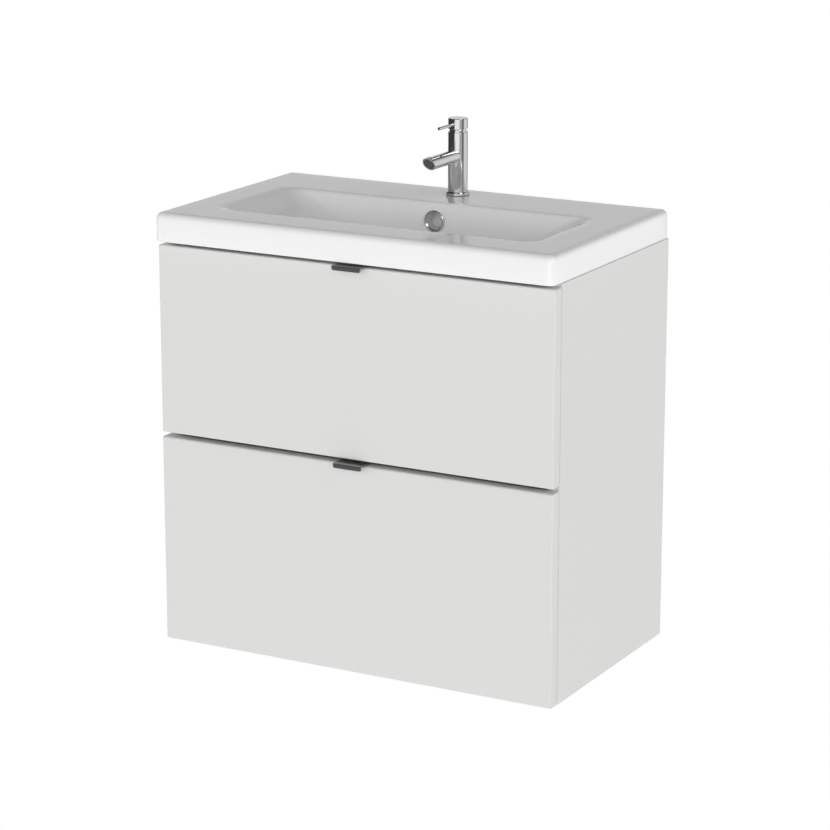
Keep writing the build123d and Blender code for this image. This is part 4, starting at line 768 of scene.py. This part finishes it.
def bent_path(corners, radius, steps=6):
    """Points along a path in the YZ plane whose corners are bent to a radius."""
    path = [corners[0]]
    for before, corner, after in zip(corners, corners[1:], corners[2:]):
        a, b = (before - corner).normalized(), (after - corner).normalized()
        reach = radius / math.tan(a.angle(b) / 2)
        centre = corner + (a + b).normalized() * (radius / math.sin(a.angle(b) / 2))
        start, end = corner + a * reach - centre, corner + b * reach - centre
        sweep = start.angle(end)
        for step in range(steps + 1):
            turn = sweep * step / steps
            path.append(centre + (start * math.sin(sweep - turn) + end * math.sin(turn)) / math.sin(sweep))
    path.append(corners[-1])
    return path


def build_pull(name, cad_name, body):
    low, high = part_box(cad_name)
    half_width, lip_end = (high.x - low.x) / 2, high.z - PULL_LIP
    corners = [(high.y, low.z), (high.y, high.z), (low.y, high.z), (low.y, lip_end)]
    rows = bent_path([Vector((0, y, z)) for y, z in corners], PULL_BEND)[:-1]
    widths = [half_width] * len(rows)
    # the last rows follow the lip's rounded corners
    for step in range(CORNER_STEPS + 1):
        turn = math.radians(90 * step / CORNER_STEPS)
        rows.append(Vector((0, low.y, lip_end + PULL_CORNER * (1 - math.sin(turn)))))
        widths.append(half_width - PULL_CORNER * (1 - math.cos(turn)))
    middle = Vector((0, (low.y + high.y) / 2, lip_end))
    vertices, faces = [], []
    for index, (point, width) in enumerate(zip(rows, widths)):
        ahead = rows[min(index + 1, len(rows) - 1)] - rows[max(index - 1, 0)]
        inward = Vector((0, ahead.z, -ahead.y)).normalized()
        if inward.dot(middle - point) < 0:
            inward = -inward
        for place in (point, point + inward * PULL_SHEET):
            vertices += [place + Vector((-width, 0, 0)), place + Vector((width, 0, 0))]
    for a in range(0, 4 * len(rows) - 4, 4):
        b = a + 4
        faces += [(a, a + 1, b + 1, b), (a + 3, a + 2, b + 2, b + 3),
                  (a + 1, a + 3, b + 3, b + 1), (a + 2, a, b, b + 2)]
    last = 4 * len(rows) - 4
    faces += [(0, 2, 3, 1), (last, last + 1, last + 3, last + 2)]
    pull = piece_from(name, mesh_from(name, vertices, faces), "polished_pull_metal", sharp=35.0)
    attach(pull, body)
    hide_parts(cad_name)
    print(name, "width", round(2 * half_width / MM, 1), "mm, rows", len(rows))


build_pull("upper_pull_strip", "upper_pull", "upper_drawer")
build_pull("lower_pull_strip", "lower_pull", "lower_drawer")

# %% [markdown]
# ## Setting one piece many times
# Screws, ribs and aerator cells repeat.  Each is made once, and Geometry Nodes sets it on every given
# point, along that point's own direction.  A fixed seed gives each screw its own turn, since no one
# lines up the slots.

# %% Repeats with Geometry Nodes
def build_scatter_group():
    """Sets one instance on every point, along the point's own direction, with a seeded twist."""
    group, given, result = start_group("set_on_points", "GeometryNodeTree", [
        ("INPUT", "Geometry", "NodeSocketGeometry", None), ("INPUT", "Piece", "NodeSocketObject", None),
        ("INPUT", "Twist", "NodeSocketFloat", 6.283), ("INPUT", "Seed", "NodeSocketInt", 7),
        ("INPUT", "Finish", "NodeSocketMaterial", None), ("OUTPUT", "Geometry", "NodeSocketGeometry", None)])
    aim = add_node(group, "GeometryNodeInputNamedAttribute", {"Name": "aim"}, data_type="FLOAT_VECTOR")
    sockets = {"Vector": aim.outputs["Attribute"]}
    upright = add_node(group, "FunctionNodeAlignRotationToVector", sockets, axis="Z")
    sockets = {2: 0.0, 3: given["Twist"], "Seed": given["Seed"]}
    spin = add_node(group, "FunctionNodeRandomValue", sockets, data_type="FLOAT")
    angles = add_node(group, "ShaderNodeCombineXYZ", {"Z": spin.outputs[1]})
    own_turn = add_node(group, "FunctionNodeEulerToRotation", {0: angles.outputs[0]})
    sockets = {0: upright.outputs[0], 1: own_turn.outputs[0]}
    twisted = add_node(group, "FunctionNodeRotateRotation", sockets, rotation_space="LOCAL")
    piece = add_node(group, "GeometryNodeObjectInfo", {"Object": given["Piece"]})
    placed = add_node(group, "GeometryNodeInstanceOnPoints", {
        "Points": given["Geometry"], "Instance": piece.outputs["Geometry"], "Rotation": twisted.outputs[0]})
    solid = add_node(group, "GeometryNodeRealizeInstances", {"Geometry": placed.outputs[0]})
    sockets = {"Geometry": solid.outputs[0], "Material": given["Finish"]}
    painted = add_node(group, "GeometryNodeSetMaterial", sockets)
    group.links.new(painted.outputs[0], result["Geometry"])
    return group


SCATTER = build_scatter_group()


def set_on_points(name, places, piece_mesh, material_slot, twist=6.283, seed=7):
    """One mesh with the piece set at each (place, direction)."""
    helper = bpy.data.objects.new("piece", piece_mesh)
    bpy.context.scene.collection.objects.link(helper)
    mesh = mesh_from(name, [place for place, _ in places], [])
    aim = mesh.attributes.new("aim", "FLOAT_VECTOR", "POINT")
    for index, (_, direction) in enumerate(places):
        aim.data[index].vector = direction
    host = bpy.data.objects.new(name, mesh)
    bpy.context.scene.collection.objects.link(host)
    modifier = host.modifiers.new("set", "NODES")
    modifier.node_group = SCATTER
    values = {"Piece": helper, "Twist": twist, "Seed": seed, "Finish": finishes[material_slot]}
    for item in SCATTER.interface.items_tree:
        if item.item_type == "SOCKET" and item.in_out == "INPUT" and item.name in values:
            modifier[item.identifier] = values[item.name]
    result = finished_mesh(host)
    bpy.data.objects.remove(host)
    bpy.data.objects.remove(helper)
    return result


print("geometry group", SCATTER.name)

# %% [markdown]
# ## One screw
# Cabinet screws have a pan head, or a sunk one where something slides over them, with a cross recess
# that a driver can centre itself in.  One screw of each kind is turned and then recessed.

# %% One screw
SCREW_LENGTH, SCREW_SHANK = 11.8 * MM, 1.7 * MM
PAN_RADIUS, PAN_HEIGHT = 3.5 * MM, 2.2 * MM
SUNK_RADIUS, SUNK_HEIGHT = 3.3 * MM, 0.1 * MM
RECESS_DEPTH, RECESS_HALF_WIDTH = 1.2 * MM, 0.45 * MM


def screw_mesh(countersunk):
    """A screw along +Z with the seat of its head at z = 0."""
    length, shank, wide = SCREW_LENGTH, SCREW_SHANK, RECESS_HALF_WIDTH
    radius, top = (SUNK_RADIUS, SUNK_HEIGHT) if countersunk else (PAN_RADIUS, PAN_HEIGHT)
    profile = [(0.0, -length), (shank * 0.35, -length + 1.6 * MM), (shank, -length + 3 * MM)]
    if countersunk:
        profile += [(shank, shank - radius), (radius, 0.0), (radius * 0.97, top), (0.0, top)]
    else:
        profile += [(shank, 0.0), (radius, 0.0), (radius, top * 0.45), (radius * 0.92, top * 0.78),
                    (radius * 0.72, top * 0.97), (radius * 0.5, top), (0.0, top)]
    arm, foot, clear = radius * 0.55, top - RECESS_DEPTH, top + 1 * MM
    return cut(turned_solid("screw", profile, (0, 0, 0), 20), [
        block_mesh("slot", (-arm, -wide, foot), (arm, wide, clear)),
        block_mesh("slot", (-wide, -arm, foot), (wide, arm, clear))])


print("pan head", round(2 * PAN_RADIUS / MM, 1), "mm, sunk head", round(2 * SUNK_RADIUS / MM, 1), "mm")

# %% [markdown]
# ## Screws in their places
# The working model has a plain body wherever a screw sits.  Its longest side is the screw's axis, the
# points farthest from that axis belong to the head, and a head that is thin at its rim is a sunk one.

# %% All screws
def loose_parts(node):
    """The separate solids of a CAD node, as lists of vertex places."""
    place = nodes[node].matrix_world
    work = bmesh.new()
    work.from_mesh(nodes[node].data)
    bmesh.ops.remove_doubles(work, verts=work.verts, dist=1e-6)
    work.verts.ensure_lookup_table()
    seen, parts = set(), []
    for start in work.verts:
        if start.index in seen:
            continue
        stack, part = [start], []
        seen.add(start.index)
        while stack:
            vertex = stack.pop()
            part.append(place @ vertex.co)
            for edge in vertex.link_edges:
                other = edge.other_vert(vertex)
                if other.index not in seen:
                    seen.add(other.index)
                    stack.append(other)
        parts.append(part)
    work.free()
    return parts


def screw_places(node):
    """Seat, direction and kind of head of every screw of a CAD node."""
    found = []
    for part in loose_parts(node):
        low = Vector([min(v[i] for v in part) for i in range(3)])
        high = Vector([max(v[i] for v in part) for i in range(3)])
        size, centre = high - low, (low + high) / 2
        axis = max(range(3), key=lambda i: size[i])
        head_radius = max(size[i] for i in range(3) if i != axis) / 2
        rim = []
        for vertex in part:
            across = vertex - centre
            across[axis] = 0.0
            if across.length > head_radius * 0.9:
                rim.append(vertex[axis])
        direction = Vector((0, 0, 0))
        direction[axis] = 1 if sum(rim) / len(rim) > centre[axis] else -1
        countersunk = max(rim) - min(rim) < 0.5 * MM
        outer = high[axis] if direction[axis] > 0 else low[axis]
        seat = centre.copy()
        seat[axis] = outer - direction[axis] * (SUNK_HEIGHT if countersunk else PAN_HEIGHT)
        found.append((seat, direction, countersunk))
    return found


def build_screws(cad_name, body):
    places = screw_places(cad_name)
    slot, meshes = "zinc_plated_steel", []
    for sunk in (False, True):
        chosen = [(seat, direction) for seat, direction, countersunk in places if countersunk is sunk]
        if chosen:
            meshes.append(set_on_points("screws", chosen, screw_mesh(sunk), slot, seed=11 + len(chosen)))
    made = piece_from(cad_name + "_driven", joined(meshes), slot, sharp=30.0)
    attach(made, body)
    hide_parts(cad_name)
    print(cad_name, "screws", len(places), "faces", len(made.data.polygons))


for cad_name in ("carcass_screws", "upper_screws", "lower_screws"):
    build_screws(cad_name, body_of_node[cad_name])

# %% [markdown]
# ## Trap nuts
# The nuts of a plastic trap are done up by hand, so they are moulded with ribs all round for grip.
# The ribs repeat, so they are points on a circle with one rib set on each.

# %% Ribbed trap nuts
PIPE_RADIUS = 16.3 * MM
RIB_WIDTH, RIB_DEPTH, RIB_COUNT = 2.2 * MM, 2.4 * MM, 20


def build_ribbed_nut(name, cad_name, axis):
    low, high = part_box(cad_name)
    up, side = (2, 1) if axis == "Z" else (1, 2)
    radius, bottom, top = (high.x - low.x) / 2, low[up], high[up]
    body, bore = radius - 1.1 * MM, PIPE_RADIUS
    base = (low + high) / 2
    base[up] = 0.0
    profile = [(bore, bottom), (radius, bottom), (radius, bottom + 2 * MM), (body, bottom + 2.6 * MM),
               (body, top - 2 * MM), (body - 1.6 * MM, top), (bore, top)]
    shell = mesh_from("nut", *turned(profile, base, axis))
    places = []
    for index in range(RIB_COUNT):
        angle = 2 * math.pi * index / RIB_COUNT
        out = Vector((math.cos(angle), 0, 0))
        out[side] = math.sin(angle)
        place = base + out * radius
        place[up] = (bottom + 2 * MM + top - 2.4 * MM) / 2
        places.append((place, out))
    half_long, half_wide = (top - bottom - 4.4 * MM) / 2, RIB_WIDTH / 2
    x, y = (half_long, half_wide) if axis == "Z" else (half_wide, half_long)
    rib = block_mesh("rib", (-x, -y, -RIB_DEPTH), (x, y, 0))
    ribs = set_on_points("ribs", places, rib, "white_plastic", twist=0.0)
    made = piece_from(name, joined([shell, ribs]), "white_plastic", sharp=35.0)
    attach(made, "cabinet")
    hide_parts(cad_name)
    print(name, "ribs", RIB_COUNT, "size", [round(v / MM, 1) for v in made.dimensions])


build_ribbed_nut("trap_inlet_nut_ribbed", "trap_inlet_nut", "Z")
build_ribbed_nut("trap_outlet_nut_ribbed", "trap_outlet_nut", "Y")

# %% [markdown]
# ## Overflow ring
# The overflow lets water out before it reaches the deck.  Its plated ring has a rolled outer bead and a
# sleeve that plugs into the casting; behind it the dark duct runs down to the waste.

# %% Overflow ring
def build_overflow_ring():
    z, radius = (ring_low.z + ring_high.z) / 2, (ring_high.z - ring_low.z) / 2
    face, seat, rear = ring_low.y, ring_low.y + RING_FLANGE, ring_high.y
    bead, bore, sleeve, lip = 1.5 * MM, 11.2 * MM, 12.1 * MM, face + 0.9 * MM
    profile = [(bore, rear), (bore, face + 1.6 * MM), (11.9 * MM, lip), (12.6 * MM, lip)]
    for step in range(9):
        turn = math.radians(20 + 160 * step / 8)
        profile.append((radius - bead - bead * math.cos(turn), face + bead - bead * math.sin(turn)))
    profile += [(radius, seat), (sleeve, seat), (sleeve, rear)]
    mesh = mesh_from("ring", *turned(profile, (0, 0, z), "Y", 72))
    made = piece_from("overflow_ring_turned", mesh, "polished_chrome")
    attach(made, "cabinet")
    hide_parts("overflow_ring")
    print("overflow ring radius", round(radius / MM, 1), "mm")


build_overflow_ring()

# %% [markdown]
# ## Waste plug
# The plug is pressed to close and pressed again to open.  It is turned brass under chrome, with a low
# dome that sheds water and a stem that slides in the guide below.

# %% Waste plug
def quarter_arc(radius, foot, height, steps):
    """Profile points up a quarter arc from its foot, without the one on the axis."""
    turns = [math.radians(90 * step / steps) for step in range(1, steps)]
    return [(radius * math.cos(turn), foot + height * math.sin(turn)) for turn in turns]


def build_plug():
    low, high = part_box("waste_plug")
    radius, centre = (high.x - low.x) / 2, (low.y + high.y) / 2
    stem, rest, dome = 4 * MM, high.z - 4.7 * MM, 2.7 * MM
    rim = rest + 2.0 * MM
    profile = [(0.0, low.z), (stem - 0.4 * MM, low.z), (stem, low.z + 0.4 * MM), (stem, rest),
               (radius - 1 * MM, rest), (radius, rest + 1 * MM), (radius, rim)]
    profile += quarter_arc(radius, rim, dome, 12) + [(0.0, high.z)]
    mesh = turned_solid("plug", profile, (0, centre, 0), 72)
    made = piece_from("waste_plug_domed", mesh, "polished_chrome", sharp=35.0)
    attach(made, "waste_plug")
    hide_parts("waste_plug")
    print("plug dome radius", round(radius / MM, 1), "mm")


build_plug()

# %% [markdown]
# ## Aerator
# The aerator mixes air into the stream.  Its face is a fine grid of cells behind a rim, set just inside
# the slanted end of the spout.  The cells repeat, so one hexagonal tube is set on every point of a
# honeycomb.

# %% Aerator
SPOUT_SLANT = math.radians(35)
GRID_SET_BACK = 3.5 * MM
CELL = 1.25 * MM
BARREL_POINTS = 48


def build_aerator():
    low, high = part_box("tap_aerator")
    spout_low, spout_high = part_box("tap_spout")
    z, radius = (spout_low.z + spout_high.z) / 2, (high.x - low.x) / 2 - 0.05 * MM
    # the face looks out and down
    out = Vector((0, -math.cos(SPOUT_SLANT), -math.sin(SPOUT_SLANT)))
    up = Vector((0, -math.sin(SPOUT_SLANT), math.cos(SPOUT_SLANT)))
    front = min((v for part in loose_parts("tap_aerator") for v in part), key=lambda v: v.y)
    middle_y = front.y + abs(front.z - z) * math.tan(SPOUT_SLANT)
    centre = Vector((0, middle_y, z)) - out * GRID_SET_BACK
    reach, places = radius - CELL * 0.6, []
    for row in range(-9, 10):
        for column in range(-9, 10):
            across, along = (column + 0.5 * (row % 2)) * CELL * 1.02, row * CELL * 0.885
            # the round bore shows as a longer oval on the slanted face
            if (across / reach)**2 + (along * math.cos(SPOUT_SLANT) / reach)**2 < 1:
                places.append((centre + Vector((1, 0, 0)) * across + up * along, out))
    deep, outside, inside = -1.6 * MM, CELL * 0.56, CELL * 0.46
    profile = [(outside, deep), (outside, 0.0), (inside, 0.0), (inside, deep)]
    tube = mesh_from("cell", *turned(profile, (0, 0, 0), "Z", 6))
    cells = set_on_points("cells", places, tube, "grey_plastic", twist=0.0)
    # the barrel round the grid is cut to the same slant, and a plate closes it
    rings = []
    for inset, behind in ((0.0, 0.0), (0.7 * MM, 0.0), (0.7 * MM, 1.7 * MM), (0.0, 3.0 * MM)):
        row = []
        for index in range(BARREL_POINTS):
            angle = 2 * math.pi * index / BARREL_POINTS
            x, rise = (radius - inset) * math.cos(angle), (radius - inset) * math.sin(angle)
            row.append(Vector((x, centre.y - (out.z / out.y) * rise + behind, z + rise)))
        rings.append(row)
    barrel = mesh_from("barrel", *skin(rings))
    plate = mesh_from("plate", rings[2], [tuple(range(BARREL_POINTS))])
    made = piece_from("aerator_grid", joined([cells, barrel, plate]), "grey_plastic", sharp=30.0)
    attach(made, "cabinet")
    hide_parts("tap_aerator")
    print("aerator cells", len(places), "faces", len(made.data.polygons))


build_aerator()

# %% [markdown]
# ## Cartridge ball
# Under the lever head sits the ball that the head rocks on.  Its centre is the head's pivot, so the
# head's hollow can turn and rise over it without opening a way in for water.  It is set back from the
# body's edge, so the joint reads as a thin shadow line between body and head.

# %% Cartridge ball
PIVOT_RISE = 0.3 * MM


def build_dome():
    low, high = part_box("tap_cartridge")
    radius, pivot = (high.x - low.x) / 2, tap_high.z + PIVOT_RISE
    ball = high.z - pivot
    profile = [(0.0, low.z), (radius, low.z), (radius, tap_high.z), (ball, pivot)]
    profile += quarter_arc(ball, pivot, ball, 16) + [(0.0, high.z)]
    mesh = turned_solid("dome", profile, (tap_x, tap_y, 0), 48)
    made = piece_from("tap_dome", mesh, "polished_chrome", sharp=35.0)
    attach(made, "tap_turning_part")
    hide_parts("tap_cartridge")
    print("ball radius", round(ball / MM, 1), "mm, sunk in the body", round((tap_high.z - low.z) / MM, 1), "mm")


build_dome()
